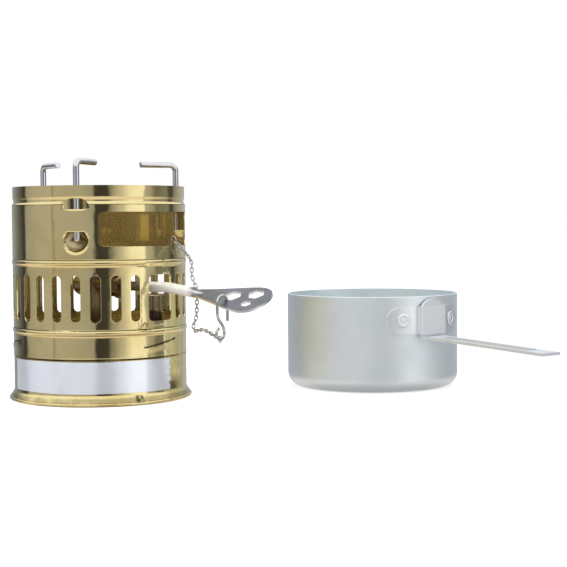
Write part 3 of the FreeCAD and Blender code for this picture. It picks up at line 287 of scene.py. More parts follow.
def joined(*parts):
    """Several (points, patches) as one."""
    points, patches, start = [], [], 0
    for some, pieces in parts:
        points.append(some)
        patches += [(corners + start, normals) for corners, normals in pieces]
        start += len(some)
    return np.concatenate(points), patches


def piece(name, form, finish, body, slot, *stands_for):
    """Mesh in metres from points in mm and patches of (corners, normals), riding on a body."""
    points, patches = form
    corner = np.concatenate([c.ravel() for c, _ in patches])
    sizes = np.concatenate([np.full(len(c), c.shape[1]) for c, _ in patches])
    normals = np.concatenate([unit(n.reshape(-1, 3)) for _, n in patches])
    used, corner = np.unique(corner, return_inverse=True)
    mesh = bpy.data.meshes.new(name)
    mesh.vertices.add(len(used))
    mesh.vertices.foreach_set("co", (points[used] * 0.001).astype(np.float32).ravel())
    mesh.loops.add(len(corner))
    mesh.loops.foreach_set("vertex_index", corner.astype(np.int32).ravel())
    mesh.polygons.add(len(sizes))
    starts = np.concatenate(([0], np.cumsum(sizes)[:-1]))
    mesh.polygons.foreach_set("loop_start", starts.astype(np.int32))
    mesh.polygons.foreach_set("use_smooth", np.ones(len(sizes), bool))
    mesh.update(calc_edges=True)
    mesh.normals_split_custom_set(normals.tolist())
    mesh.materials.append(finish)
    made = bpy.data.objects.new(name, mesh)
    bpy.context.collection.objects.link(made)
    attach(made, body)
    if stands_for:
        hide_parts(*stands_for)
    return made


def brass(name, light, deep, roughness, wave=0.05, lines=0.5, smoke=0.0, shade_rings=(), film=0.0):
    """Polished brass: fine polishing lines round the upright axis, wiping marks and faint cloudy
    tarnish between a light and a deep colour, and a sheet that isn't quite flat.  wave is the
    height of its unevenness in mm; smoke is how much heat has browned it; the shade rings are
    (height, half width, depth of colour) in mm of bands painted dark as shade and dark reflection
    in grooves and under edges; film is how much of the metal's shine a matt skin hides."""
    made = bpy.data.materials.new(name)
    g = Graph(made)
    place = g.node("ShaderNodeTexCoord", output="Object")
    x, y, z = g.split(place)
    round_it = g.node("ShaderNodeMath", {"operation": "ARCTAN2"}, {0: x, 1: -1.0 * y})
    track = g.node("ShaderNodeCombineXYZ", inputs={0: round_it * 1.3, 1: z * 1500.0, 2: 0.0})
    grain = g.noise(track, 1.0, 4.0, 0.7)
    cloud = g.noise(place, 55.0, 5.0, 0.62)
    speck = g.noise(place, 700.0, 3.0)
    bend = g.noise(place, 75.0, 2.0, 0.4)
    dull = g.ease(cloud + speck * 0.18, 0.50, 0.78)
    colour = g.mix(dull, light, deep)
    if smoke:
        browned = g.ease(cloud * 0.6 + speck * 0.3, 0.30, 0.62) * smoke
        colour = g.mix(browned, colour, (0.16, 0.095, 0.055))
    # painted shade: each ring darkens the brass in patches towards a dark brown, standing for the
    # shade and dark reflections in grooves and under edges
    for level, half, depth in shade_rings:
        off = g.node("ShaderNodeMath", {"operation": "ABSOLUTE"}, {0: z * 1000.0 - level})
        patchy = g.ease(cloud + speck * 0.2, 0.32, 0.62)
        ring = g.ease(off, half * 1.5, half * 0.6) * patchy * depth
        colour = g.mix(ring, colour, (0.10, 0.08, 0.04))
    unflat = g.bump(1.0, wave * 0.001, bend)
    brushed = g.bump(0.12 * lines, 0.00002, grain, unflat)
    g.surface(colour, 1.0 - film, roughness + dull * 0.06 + grain * 0.04 * lines, brushed)
    return made


pitch = 360 / 28          # degrees from one of the windscreen's slots to the next
key_side = 4.5 * pitch    # azimuth of the spindle
tank_r = 47.05
pip_r, pip_from_axis, pip_z = 1.5, 45.6, 28.4
# The shade rings are painted shade: a dark line at the step under the windscreen's foot, a band where
# the skirt meets the foot, and a wide band round the neck behind the lances' slits.
tank_brass = brass("tank_brass", (0.93, 0.79, 0.40), (0.83, 0.66, 0.29), 0.07, wave=0.04,
                   shade_rings=((24.1, 0.5, 0.95), (2.6, 1.5, 0.5), (33.0, 7.0, 0.55)))
tank = rounded((
    (48.4, 1.8), (49.1, 1.8, 0.15), (48.35, 3.2, 2.6), (tank_r, 5.4, 3.2), (tank_r, 23.7, 0.3),
    (46.55, 24.3, 0.25), (46.55, 36.9, 5.0), (19.5, 36.9, 1.2), (16.5, 34.0, 1.0), (5.55, 34.0, 0.2),
    (5.55, 33.3), (16.85, 33.3, 0.8), (19.85, 36.2, 0.8), (45.85, 36.2, 4.3), (45.85, 23.9),
    (46.35, 23.3), (46.35, 5.2, 2.6), (47.7, 3.0, 2.0),
))
# Three round pips on the neck, which the windscreen's lances ride over.
ball_fillet = pip_r - 0.01
pip = rounded(((0.0, -pip_r), (pip_r, -pip_r, ball_fillet), (pip_r, pip_r, ball_fillet),
               (0.0, pip_r)), closed=False, steps=8)
pips = [turned(pip, 24) for _ in range(3)]
for k, (points, _) in enumerate(pips):
    azimuth = math.radians(key_side + 120 * k)
    points += (pip_from_axis * math.sin(azimuth), -pip_from_axis * math.cos(azimuth), pip_z)
piece("tank", joined(turned(tank, 320), *pips), tank_brass, "stove", "polished_brass", "tank_shell")

# ---- foot ----
# Raised bottom plate of the tank, whose rim is rolled into the ring that the stove stands on.
foot_r = 50.0
base = rounded((
    (0.0, 3.0), (44.0, 3.0, 1.0), (48.1, 0.0, 0.4), (49.3, 0.0, 0.7), (foot_r, 0.95, 0.8),
    (49.5, 1.8, 0.35), (47.9, 1.8, 0.2), (44.3, 3.7, 0.8), (0.0, 3.7),
), closed=False)
foot_brass = brass("foot_brass", (0.92, 0.77, 0.39), (0.70, 0.52, 0.22), 0.09, wave=0.02)
piece("foot", turned(base, 320), foot_brass, "stove", "polished_brass", "tank_base")


# ---- label ----
# Blank strip of silvered foil stuck round the tank.  It has been rubbed and wrinkled, and its
# right-hand end has frayed.
def sheet_grid(points, thick):
    """Closed sheet from a (rows, columns, 3) grid in mm whose columns run anticlockwise seen from
    above and rows run up.  The normal is the cross product of the grid's two slopes, the back
    face is the front moved in by thick, and the four edges are closed."""
    across, along = np.gradient(points, axis=1), np.gradient(points, axis=0)
    normal = unit(np.cross(across, along))
    rows, columns = points.shape[:2]
    number = np.arange(rows * columns).reshape(rows, columns)
    def quads(a):
        return np.stack((a[:-1, :-1], a[:-1, 1:], a[1:, 1:], a[1:, :-1]), -1).reshape(-1, 4)
    def around(a):
        return np.stack((a[:-1, :-1], a[:-1, 1:], a[1:, 1:], a[1:, :-1]), 2).reshape(-1, 4, 3)
    front, back = quads(number), quads(number)[:, ::-1] + rows * columns
    both = np.concatenate((points.reshape(-1, 3), (points - thick * normal).reshape(-1, 3)))
    rim = np.concatenate((number[0, :], number[1:, -1], number[-1, -2::-1], number[-2::-1, 0]))
    edge = np.stack((rim[:-1], rim[:-1] + rows * columns, rim[1:] + rows * columns, rim[1:]), -1)
    side = np.cross(both[edge[:, 1]] - both[edge[:, 0]], both[edge[:, 3]] - both[edge[:, 0]])
    side = np.where(np.linalg.norm(side, axis=1, keepdims=True) < 1e-12, (0.0, 0.0, 1.0), side)
    return both, [(front, around(normal)), (back, -around(normal)[:, ::-1]),
                  (edge, np.repeat(side[:, None], 4, 1))]


foil_low, foil_high = 6.6, 23.2
foil_r, foil_thick = 47.2, 0.1
foil_start, foil_sweep = -56.3, 122.2      # azimuth of its left-hand end, and how far round it goes
foil_lifts = 0.045                         # share of its length, at the right, that has lifted
# Each end, the lower and upper edge and the face are wavy by sums of sines in mm or degrees.
up_it = np.linspace(0, 1, 40)[:, None]
along_it = np.linspace(0, 1, 260)[None]
fray = 0.9 * np.sin(9 * up_it) ** 2 + 0.5 * np.sin(31 * up_it + 1) + 0.25 * np.sin(67 * up_it)
azimuth = np.radians(foil_start + 0.15 * np.sin(23 * up_it) + along_it * (foil_sweep - fray))
height = foil_low + up_it * (foil_high - foil_low)
height = height + 0.12 * np.sin(11 * along_it + 2 * up_it) * (1 - 2 * up_it)
ripple = 0.012 * np.sin(37 * along_it + 5 * up_it)
ripple = ripple + 0.010 * np.sin(71 * along_it - 9 * up_it) * np.sin(7 * up_it)
lifted = np.clip((along_it - 1 + foil_lifts) / foil_lifts, 0, 1)
radius = foil_r + ripple + 0.06 * lifted * np.sin(5.1 * np.pi * up_it) ** 2
foil_form = np.stack((radius * np.sin(azimuth), -radius * np.cos(azimuth), height + 0 * azimuth), -1)
foil = bpy.data.materials.new("label_foil")
g = Graph(foil)
place = g.node("ShaderNodeTexCoord", output="Object")
rub = g.noise(place, 90.0, 6.0, 0.65)
crease = g.noise(place, 60.0, 3.0, kind="RIDGED_MULTIFRACTAL", distortion=0.4)
grey = g.mix(g.ease(rub, 0.48, 0.78), (0.90, 0.93, 1.0), (0.78, 0.81, 0.88))
g.surface(grey, 0.55, 0.12 + rub * 0.12, g.bump(0.3, 0.00003, crease * 0.5 + rub))
piece("label", sheet_grid(foil_form, foil_thick), foil, "stove", "foil", "label_foil")


# ---- windscreen ----
# Tube of thin brass sheet, rolled with two beads and a groove under its collar.  It is pierced
# with slots, a window for the key and one for lighting, and pressed in to straps and pockets
# that hold the pot supports.  Three sheared lances ride over the pips on the tank's neck.
screen_r, screen_wall, screen_low, screen_top = 47.15, 0.5, 24.6, 115.0
hem_top, hem_proud = 25.5, 0.2             # the foot of the sheet is opened out a little
bead_proud, bead_half, beads = 0.45, 1.3, (38.0, 74.6)
edge_roll, edge_reach = 0.07, 0.6          # how far the sheet rolls in at an opening, and over what
slot_half, slot_low, slot_high = 2.6, 43.8, 68.1
# Slots in front and behind, in pitches round from -Y: the first and the last one's number, how far
# they are all shifted, and where the plain strip after the last one has its middle.
front_first, front_last, front_shift, front_end = -5, 8, -0.05, 8.71
back_first, back_last, back_shift, back_end = 9, 21, 0.42, 28 - 5.79
key_window_half, key_window_low, key_window_high = 8.29, 43.6, 68.0
match_window_at, match_window_half = 60.0, screen_r * math.radians(46.0)
match_window_low, match_window_high = 83.1, 101.2
ring_hole_at, ring_hole_z, ring_hole_r = 71.98, 79.9, 1.3
support_azimuths = (0.0, 120.0, 240.0)
rod_seat = 42.59                           # where a rod's back rests, from the axis
strap_low, strap_r, strap_half = 102.2, 9.2, 7.5
pocket_r, pocket_z, pocket_top = 7.8, 87.0, 90.8
pocket_edge = screen_r - 0.6               # the sheet rolls in this far before the pocket's own wall
lance_half, lance_z, lance_slope = 12.04, 31.6, 3.8 / 24.08
# Half height of a lance's slit, how proud the sheet stands under it, and how far down it sinks back.
lance_slit, lance_proud, lance_sink = 0.35, 0.45, 5.2
far_off = 9.0                              # a distance in mm that stands for nowhere near


def from_azimuth(azimuth, centre):
    """Distance round the wall in mm from an upright line at azimuth centre, in degrees."""
    return screen_r * np.radians((azimuth - centre + 180) % 360 - 180)


def round_box(s, z, half, low, high, corner):
    """Distance outside a rectangle with round corners: from its inner frame, less the corner."""
    side = np.abs(s) - (half - corner)
    end = np.abs(z - (low + high) / 2) - ((high - low) / 2 - corner)
    beyond = np.hypot(np.maximum(side, 0), np.maximum(end, 0))
    return beyond + np.minimum(np.maximum(side, end), 0) - corner


def strap_mouth(s):
    """Lower and upper edge of the mouth behind which a strap is pressed in: a flat sill under an
    arch that falls to its ends by the square root of 1 less the cube of the distance from its
    middle."""
    share = np.clip(np.abs(s + 0.4) / (strap_half + 0.1), 0, 1)
    return strap_low + 0.35 + 0.5 * share ** 4, strap_low + 0.9 + 5.2 * np.sqrt(1 - share ** 3)


def pocket_width(z):
    """Share of its full width that a pocket has at a height: it loses 0.36 of it towards its open
    top, by the power 1.6 of the height above a line just under the ball's middle."""
    line = pocket_z - 0.6
    return 1 - 0.36 * np.clip((z - line) / (pocket_top - line), 0, 1) ** 1.6


def pocket_side(azimuth, z, centre):
    """Distance outside the ball and cylinder that a pocket is pressed with, from the wall."""
    angle = np.radians((azimuth - centre + 180) % 360 - 180)
    fall = np.minimum(z - pocket_z, 0)
    far = np.sqrt((pocket_edge * np.cos(angle) - rod_seat - pocket_r) ** 2
                  + (pocket_edge * np.sin(angle) / pocket_width(z)) ** 2 + fall ** 2) - pocket_r
    return np.where(np.abs(angle) < 0.3, far, far_off)


def pierced(azimuth, z):
    """Distance in mm to the nearest slot, window or ring hole, negative inside one.  The slots
    behind don't line up with those in front."""
    turns = (azimuth / pitch - back_end) % 28 + back_end - 28
    in_front = np.clip(np.round(turns - front_shift), front_first, front_last) + front_shift
    behind = np.clip(np.round(turns - back_shift), back_first, back_last) + back_shift
    nearest = from_azimuth(azimuth, np.where(turns > front_end, behind, in_front) * pitch)
    slots = round_box(nearest, z, slot_half, slot_low, slot_high, slot_half - 0.01)
    from_key = from_azimuth(azimuth, key_side)
    return np.minimum.reduce([
        np.where(np.abs(from_key) < 10.5, far_off, slots),     # the window takes up two slots' room
        round_box(from_key, z, key_window_half, key_window_low, key_window_high, 2.5),
        round_box(from_azimuth(azimuth, match_window_at), z, match_window_half, match_window_low,
                  match_window_high, 3.2),
        np.hypot(from_azimuth(azimuth, ring_hole_at), z - ring_hole_z) - ring_hole_r,
    ])


def opened(azimuth, z):
    """Distance in mm to the nearest opening of any kind, negative inside one."""
    inside = [pierced(azimuth, z)]
    for centre in support_azimuths:
        s = from_azimuth(azimuth, centre)
        low, high = strap_mouth(s)
        mouth = np.maximum(np.maximum(low - z, z - high), np.abs(s) - strap_half)
        inside.append(np.where(np.abs(s) < strap_half + 4.5, mouth, far_off))
        inside.append(np.maximum(pocket_side(azimuth, z, centre), z - pocket_top))
    for k in range(3):
        s = from_azimuth(azimuth, key_side + 120 * k)
        inside.append(round_box(s, z - lance_slope * s, lance_half, lance_z - lance_slit,
                                lance_z + lance_slit, lance_slit - 0.01))
    return np.minimum.reduce(inside)


def wall_radius(azimuth, z):
    """Radius of the outside in mm: beads are parabolas, the groove and collar ease between their
    radii, below each lance's slit the sheet stands proud and sinks back downwards, and it rolls in
    by the square of the nearness to an opening's edge."""
    radius = screen_r + hem_proud * np.clip((hem_top - z) / (hem_top - screen_low), 0, 1)
    for bead in beads:
        radius = radius + bead_proud * np.clip(1 - ((z - bead) / bead_half) ** 2, 0, 1)
    heights, depths = (105.2, 106.3, 107.0, 109.6), (0.0, -0.75, -0.85, -0.4)
    for low, high, start, end in zip(heights, heights[1:], depths, depths[1:]):
        share = np.clip((z - low) / (high - low), 0, 1)
        radius = radius + (end - start) * share * share * (3 - 2 * share)
    for k in range(3):
        s = from_azimuth(azimuth, key_side + 120 * k)
        below = lance_z + lance_slope * s - z
        ends = np.clip((lance_half + 0.6 - np.abs(s)) / 4.0, 0, 1)
        sink = np.clip(1 - below / lance_sink, 0, 1)
        proud = lance_proud * ends * ends * (3 - 2 * ends) * sink * sink * (3 - 2 * sink)
        radius = radius + np.where((below > 0) & (np.abs(s) < lance_half + 0.6), proud, 0.0)
    near = np.clip(1 - np.maximum(pierced(azimuth, z), 0) / edge_reach, 0, 1)
    radius = radius - edge_roll * near ** 2
    for centre in support_azimuths:
        near = np.clip(1 - np.maximum(pocket_side(azimuth, z, centre), 0) / 1.7, 0, 1)
        below_top = np.clip((pocket_top + 0.4 - z) / 1.4, 0, 1)
        radius = radius - (screen_r - pocket_edge) * near ** 2 * below_top
        s = from_azimuth(azimuth, centre)
        sill = strap_mouth(s)[0]
        middle = np.clip(1 - (s / strap_half) ** 2, 0, 1)
        near = np.clip(1 - np.maximum(sill - z, 0), 0, 1)
        radius = radius - 0.32 * near ** 2 * middle * (z <= sill + 0.3)
    return radius


def on_wall(azimuth, z):
    """Place in mm on the outside, at the radius that wall_radius gives."""
    radius, angle = wall_radius(azimuth, z), np.radians(azimuth)
    return np.stack((radius * np.sin(angle), -radius * np.cos(angle), z), -1)


def pierced_wall():
    """Grid over azimuth and height.  Points within half a cell of an opening's edge move onto it
    along the distance's slope; cells inside the opening are left out; the inner face follows the
    outer one a sheet's thickness in; and every edge left open is closed between the two."""
    # columns at these distances in mm from the middle of each slot, and two more beside the last
    # slot in front and the last one behind, where the plain strips are wider
    offsets = np.array((-4.35, -3.25, -2.6, -1.95, -1.3, -0.65, 0, 0.65, 1.3, 1.95, 2.6, 3.25,
                        4.35, 5.29))
    in_front = np.arange(front_first, front_last + 1) + front_shift
    behind = np.arange(back_first, back_last + 1) + back_shift
    slots = np.append(in_front, behind) * pitch
    plain = np.degrees(np.array((7.1, 8.9)) / screen_r)
    columns = (slots[:, None] + np.degrees(offsets / screen_r)).ravel()
    columns = np.sort(np.concatenate((columns, slots[len(in_front) - 1] + plain, slots[-1] + plain)))
    # rows from one height to the next in steps that are small only where the sheet is worked
    rows = []
    low = screen_low
    for high, step in (
            (25.5, 0.45), (29.1, 0.9), (34.2, 0.34), (36.7, 1.2), (39.3, 0.3), (43.4, 1.4),
            (46.6, 0.46), (65.2, 2.1), (68.4, 0.46), (73.3, 1.6), (75.9, 0.3), (78.1, 1.1),
            (91.6, 0.56), (97.8, 1.6), (101.4, 0.52), (105.0, 0.45), (109.8, 0.3), (screen_top, 1.3)):
        count = max(1, round((high - low) / step))
        rows.append(low + (high - low) * np.arange(count) / count)
        low = high
    rows = np.append(np.concatenate(rows), screen_top)
    azimuth, z = [a.copy() for a in np.meshgrid(columns, rows)]
    wide = np.radians(np.diff(columns, append=columns[0] + 360)) * screen_r
    wide = np.maximum(wide, np.roll(wide, 1))[None]
    tall = np.diff(rows)
    tall = np.maximum(np.append(tall, 0), np.append(0, tall))[:, None]
    tiny = 0.02
    distance = opened(azimuth, z)
    turn = math.degrees(tiny / screen_r)
    slope_s = (opened(azimuth + turn, z) - opened(azimuth - turn, z)) / (2 * tiny)
    slope_z = (opened(azimuth, z + tiny) - opened(azimuth, z - tiny)) / (2 * tiny)
    half_cell = 0.51                       # and a little over, so that no point is left between
    reach = half_cell * np.maximum(np.abs(slope_s) * wide, np.abs(slope_z) * tall)
    near = np.abs(distance) <= reach
    near[[0, -1]] = False
    steep = np.maximum(slope_s ** 2 + slope_z ** 2, 1e-6)
    azimuth = azimuth - np.where(near, np.degrees(distance * slope_s / steep / screen_r), 0)
    z = z - np.where(near, distance * slope_z / steep, 0)
    state = np.where(near, 0, np.sign(distance)).astype(int)
    number = np.arange(azimuth.size).reshape(azimuth.shape)
    def cells(a):
        ahead = np.roll(a, -1, 1)
        return np.stack((a[:-1], ahead[:-1], ahead[1:], a[1:]), -1).reshape(-1, 4)
    quads, states = cells(number), cells(state)
    first = np.radians(azimuth.ravel()[quads[:, 0]])
    spread = (np.radians(azimuth.ravel()[quads]) - first[:, None] + np.pi) % (2 * np.pi) - np.pi
    centre = np.degrees(first + spread.mean(1))
    middle = opened(centre, z.ravel()[quads].mean(1))
    outside = (states < 0).sum(1)
    whole = (outside == 0) & ((states > 0).any(1) | (middle > 0))
    part = (outside == 1) & (states > 0).any(1)
    lone = np.argmax(states[part] < 0, 1)
    order = (lone[:, None] + np.array((1, 2, 3))) % 4
    thirds = np.take_along_axis(quads[part], order, 1)
    outer = on_wall(azimuth, z).reshape(-1, 3)
    step = 0.05
    swing = math.degrees(step / screen_r)
    normal = unit(np.cross(on_wall(azimuth + swing, z) - on_wall(azimuth - swing, z),
                           on_wall(azimuth, z + step) - on_wall(azimuth, z - step))).reshape(-1, 3)
    size = len(outer)
    points = np.concatenate((outer, outer - screen_wall * normal))
    points[size:, 2] = np.clip(points[size:, 2], screen_low, screen_top)
    faces = [quads[whole], thirds]
    patches = [(f, normal[f]) for f in faces]
    patches += [(f[:, ::-1] + size, -normal[f][:, ::-1]) for f in faces]
    edges = np.concatenate([np.stack((f, np.roll(f, -1, 1)), -1).reshape(-1, 2) for f in faces])
    keys = edges[:, 0].astype(np.int64) * size + edges[:, 1]
    backwards = edges[:, 1].astype(np.int64) * size + edges[:, 0]
    border = edges[~np.isin(keys, backwards)]
    rim = np.stack((border[:, 1], border[:, 0], border[:, 0] + size, border[:, 1] + size), -1)
    side = np.cross(points[rim[:, 1]] - points[rim[:, 0]], points[rim[:, 3]] - points[rim[:, 0]])
    return points, patches + [(rim, np.repeat(side[:, None], 4, 1))]


def strap():
    """Strap at azimuth 0: across its arch, the part of a cylinder of radius strap_r that lies
    inside the wall; up it, from the lower to the upper edge of its mouth."""
    slack = 0.02
    s = np.linspace(-strap_half - 0.08, strap_half + 0.08, 45)[None]
    share = np.linspace(0, 1, 13)[:, None]
    low, high = strap_mouth(s)
    z = low + slack + share * (high - low - 2 * slack)
    out = rod_seat + strap_r - np.sqrt(strap_r ** 2 - s ** 2) - slack
    return np.stack((s + 0 * z, -out + 0 * z, z), -1)


def pocket():
    """Pocket at azimuth 0: a ball of radius pocket_r under an upright cylinder that narrows
    upwards, each height's arc running between the two places where it meets the wall."""
    centre = rod_seat + pocket_r
    low = pocket_z - math.sqrt(pocket_r ** 2 - (centre - pocket_edge) ** 2) + 0.03
    ball = low + (pocket_z - low) * np.linspace(0, 1, 23) ** 1.5
    z = np.concatenate((ball, np.linspace(pocket_z + 0.4, pocket_top, 7)))[:, None]
    radius = np.sqrt(pocket_r ** 2 - np.minimum(z - pocket_z, 0) ** 2)
    wide = pocket_width(z)
    # the cosine of the arc's end angle is the smaller root of a c^2 - b c + d = 0
    a, b = radius ** 2 * (1 - wide ** 2), 2 * centre * radius
    d = centre ** 2 + (radius * wide) ** 2 - pocket_edge ** 2
    limit = np.arccos(np.clip(2 * d / (b + np.sqrt(b * b - 4 * a * d)), -1, 1))
    turn = np.linspace(-1, 1, 39)[None] * limit
    out = centre - radius * np.cos(turn)
    return np.stack((radius * wide * np.sin(turn), -out, z + 0 * turn), -1)


def at(azimuth, points):
    """Points turned about the stove's axis."""
    c, s = math.cos(math.radians(azimuth)), math.sin(math.radians(azimuth))
    return points @ np.array(((c, s, 0.0), (-s, c, 0.0), (0.0, 0.0, 1.0)))


# The shade rings are painted shade: thin dark lines beside the two beads and at the top of the groove
# under the collar, standing for the dark reflections in them.
screen_brass = brass("windscreen_brass", (0.93, 0.79, 0.40), (0.85, 0.69, 0.32), 0.035, wave=0.3,
                     shade_rings=((39.4, 0.3, 0.9), (76.0, 0.28, 0.9), (105.1, 0.25, 0.6),
                              (36.6, 0.2, 0.4)))
sooted = brass("sooted_brass", (0.60, 0.47, 0.19), (0.47, 0.37, 0.15), 0.05, wave=0.02, lines=0.1,
               film=0.24)
pressed = brass("pressed_brass", (0.50, 0.42, 0.23), (0.36, 0.29, 0.15), 0.16, wave=0.03, lines=0.2)
# painted shade: near black brass for the faces round the lances' slits, standing for the shade inside
# them
slit_shade = brass("slit_painted_shade", (0.10, 0.08, 0.045), (0.05, 0.04, 0.025), 0.4, wave=0.0, lines=0.2)
pressings = [sheet_grid(at(azimuth, form), screen_wall)
             for azimuth in support_azimuths for form in (strap(), pocket())]
sheet = piece("windscreen_sheet", joined(pierced_wall(), *pressings), screen_brass, "stove",
              "polished_brass", "windscreen")
for less_bright in (sooted, pressed, slit_shade):
    sheet.data.materials.append(less_bright)
centres, facings = [np.empty(3 * len(sheet.data.polygons), np.float32) for _ in range(2)]
sheet.data.polygons.foreach_get("center", centres)
sheet.data.polygons.foreach_get("normal", facings)
centres, facings = centres.reshape(-1, 3) * 1000, facings.reshape(-1, 3)
# Polishing doesn't reach the inner face, which is 1 in the list of finishes, or the pressings,
# which are 2.  The faces round the lances' slits, which are 3, are painted near black as the
# shade in the slits.  A face looks inwards when the distance from the axis to its plane, in mm,
# is well below nothing.
outwards = (centres * facings)[:, :2].sum(1)
turned_to = np.degrees(np.arctan2(centres[:, 0], -centres[:, 1]))
inner = outwards < -12
set_in = np.linalg.norm(centres[:, :2], axis=1) < screen_r - 1.2
which = np.where(inner, 1, np.where(set_in, 2, 0))
# the faces along each lance's slit take the painted shade
for k in range(3):
    s = from_azimuth(turned_to, key_side + 120 * k)
    above_slit = centres[:, 2] - lance_z - lance_slope * s
    which[(np.abs(s) < lance_half + 0.1) & (np.abs(above_slit) < 0.5)] = 3
sheet.data.polygons.foreach_set("material_index", which.astype(np.int32))


# ---- pot supports ----
# Three chromed steel rods. Each hangs in its strap with its round foot in a pocket, and its bent
# arm turns in under the pot.
def swept(path, radius, side, around=28):
    """Round rod: circles of the given radii about the points of a flat path, square to it.  side
    is the normal of the path's plane; a circle's direction at angle a is side cos a plus the cross
    product of tangent and side times sin a."""
    tangent = unit(np.gradient(path, axis=0))
    other = np.cross(tangent, side)
    a = 2 * np.pi * np.arange(around) / around
    spoke = side * np.cos(a)[:, None] + other[:, None] * np.sin(a)[:, None]
    length = np.concatenate(([0], np.cumsum(np.linalg.norm(np.diff(path, axis=0), axis=1))))
    lean = np.gradient(radius, length)
    lean[[0, -1]] = np.sign(lean[[0, -1]]) * 60    # the two tips are all but flat
    points = path[:, None] + radius[:, None, None] * spoke
    normal = unit(spoke - tangent[:, None] * lean[:, None, None])
    number = np.arange(points[..., 0].size).reshape(points.shape[:2])
    ahead, nearer = np.roll(number, -1, 1), np.roll(normal, -1, 1)
    quads = np.stack((number[:-1], ahead[:-1], ahead[1:], number[1:]), -1).reshape(-1, 4)
    facing = np.stack((normal[:-1], nearer[:-1], nearer[1:], normal[1:]), 2).reshape(-1, 4, 3)
    caps = np.stack((number[0][::-1], number[-1]))
    ends = np.repeat(np.stack((-tangent[0], tangent[-1]))[:, None], around, 1)
    return points.reshape(-1, 3), [(quads, facing), (caps, ends)]


rod_r, rod_from_axis, rod_foot, rod_top = 1.65, 44.33, 85.3, 129.3
arm_z, arm_bend, arm_length, arm_ease = rod_top - rod_r, 3.5, 21.0, 0.35
arm_headings = (-12.0, 4.0, -20.0)         # degrees that each arm is turned from straight inwards


def rod_line():
    """Path and radii in the rod's own plane, X along the arm: a quarter-round foot, the upright,
    the bend, the arm and its rounded end."""
    cap = np.linspace(0, np.pi / 2, 9)[:-1]
    foot_z = rod_foot + rod_r * (1 - np.cos(cap))
    foot_r = np.maximum(rod_r * np.sin(cap), 0.02)
    upright = np.linspace(rod_foot + rod_r, arm_z - arm_bend, 34)
    bend = np.linspace(0, np.pi / 2, 15)[1:]
    arm = np.linspace(arm_bend, arm_length - arm_ease, 18)[1:]
    tip = arm_length - arm_ease + arm_ease * np.sin(cap[1:])
    x = np.concatenate((0 * foot_z, 0 * upright, arm_bend * (1 - np.cos(bend)), arm, tip,
                        [arm_length]))
    z = np.concatenate((foot_z, upright, arm_z - arm_bend + arm_bend * np.sin(bend), 0 * arm + arm_z,
                        0 * tip + arm_z, [arm_z]))
    radii = np.concatenate((foot_r, 0 * upright + rod_r, 0 * bend + rod_r, 0 * arm + rod_r,
                            rod_r - arm_ease + arm_ease * np.cos(cap[1:]), [rod_r - arm_ease]))
    return x, z, radii


def steel(name, light, deep, roughness, wave=0.02, brushed=0.5):
    """Bare or plated steel: scratches every way, faint clouds, and a surface not quite true.  wave
    is the height of its unevenness in mm, and brushed is how strong the scratches are."""
    made = bpy.data.materials.new(name)
    g = Graph(made)
    place = g.node("ShaderNodeTexCoord", output="Object")
    cloud = g.noise(place, 110.0, 3.0, 0.45)
    speck = g.noise(place, 1600.0, 3.0)
    scratch = g.noise(place, 420.0, 3.0, kind="RIDGED_MULTIFRACTAL", distortion=1.2)
    worn = g.ease(cloud + speck * 0.3, 0.62, 1.05)
    unflat = g.bump(1.0, wave * 0.001, cloud)
    fine = g.bump(0.12 * brushed, 0.00001, scratch * 0.5 + speck, unflat)
    g.surface(g.mix(worn, light, deep), 1.0, roughness + worn * 0.1 + speck * 0.04, fine)
    return made


chrome = steel("chrome", (0.80, 0.81, 0.84), (0.62, 0.62, 0.65), 0.05)
x, z, radii = rod_line()
for k, (azimuth, heading) in enumerate(zip(support_azimuths, arm_headings), 1):
    # the rod is made at azimuth 0, where outwards is -Y, and then turned to its own azimuth
    way, up = math.radians(heading), np.array((0.0, 0.0, 1.0))
    inwards = np.array((-math.sin(way), math.cos(way), 0.0))
    path = np.array((0.0, -rod_from_axis, 0.0)) + x[:, None] * inwards + z[:, None] * up
    side = np.cross(inwards, up)
    points, patches = swept(path, radii, side)
    form = at(azimuth, points), [(c, at(azimuth, n)) for c, n in patches]
    piece(f"pot_support_rod_{k}", form, chrome, f"support_{k}", "plated_steel", f"pot_support_{k}")


# ---- vaporiser and valve ----
# Turned brass stem screwed into the tank, with the cross-block that holds the spindle, the nipple
# with its jet, and a wick up its middle.  The needle is worked by the spindle's pinion.
def finish(material, *nodes):
    """A CAD node's own mesh in a finish."""
    for name in nodes:
        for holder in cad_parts[name].material_slots:
            holder.material = material


machined = brass("machined_brass", (0.88, 0.70, 0.33), (0.62, 0.43, 0.18), 0.17, wave=0.01, lines=1.0)
finish(machined, "jet_nipple", "relief_screw")
heated = brass("heated_brass", (0.50, 0.40, 0.20), (0.30, 0.21, 0.10), 0.2, wave=0.01, smoke=0.6)
finish(heated, "vaporiser", "gland_nut")
dark_steel = steel("spindle_steel", (0.34, 0.32, 0.29), (0.22, 0.20, 0.17), 0.24)
finish(dark_steel, "spindle", "cleaning_needle", "relief_spring")


def soft_stuff(name, light, deep, size, roughness, bump):
    """Fibre, cotton or rubber: two colours in a matted grain of the given size in mm."""
    made = bpy.data.materials.new(name)
    g = Graph(made)
    place = g.node("ShaderNodeTexCoord", output="Object")
    matted = g.noise(place, 1000.0 / size, 5.0, 0.7)
    fleck = g.node("ShaderNodeTexVoronoi", inputs={"Vector": place, "Scale": 600.0 / size})
    colour = g.mix(g.ease(matted, 0.35, 0.65), light, deep)
    g.surface(colour, 0.0, roughness + matted * 0.1, g.bump(bump, 0.0001, matted + fleck * 0.4))
    return made


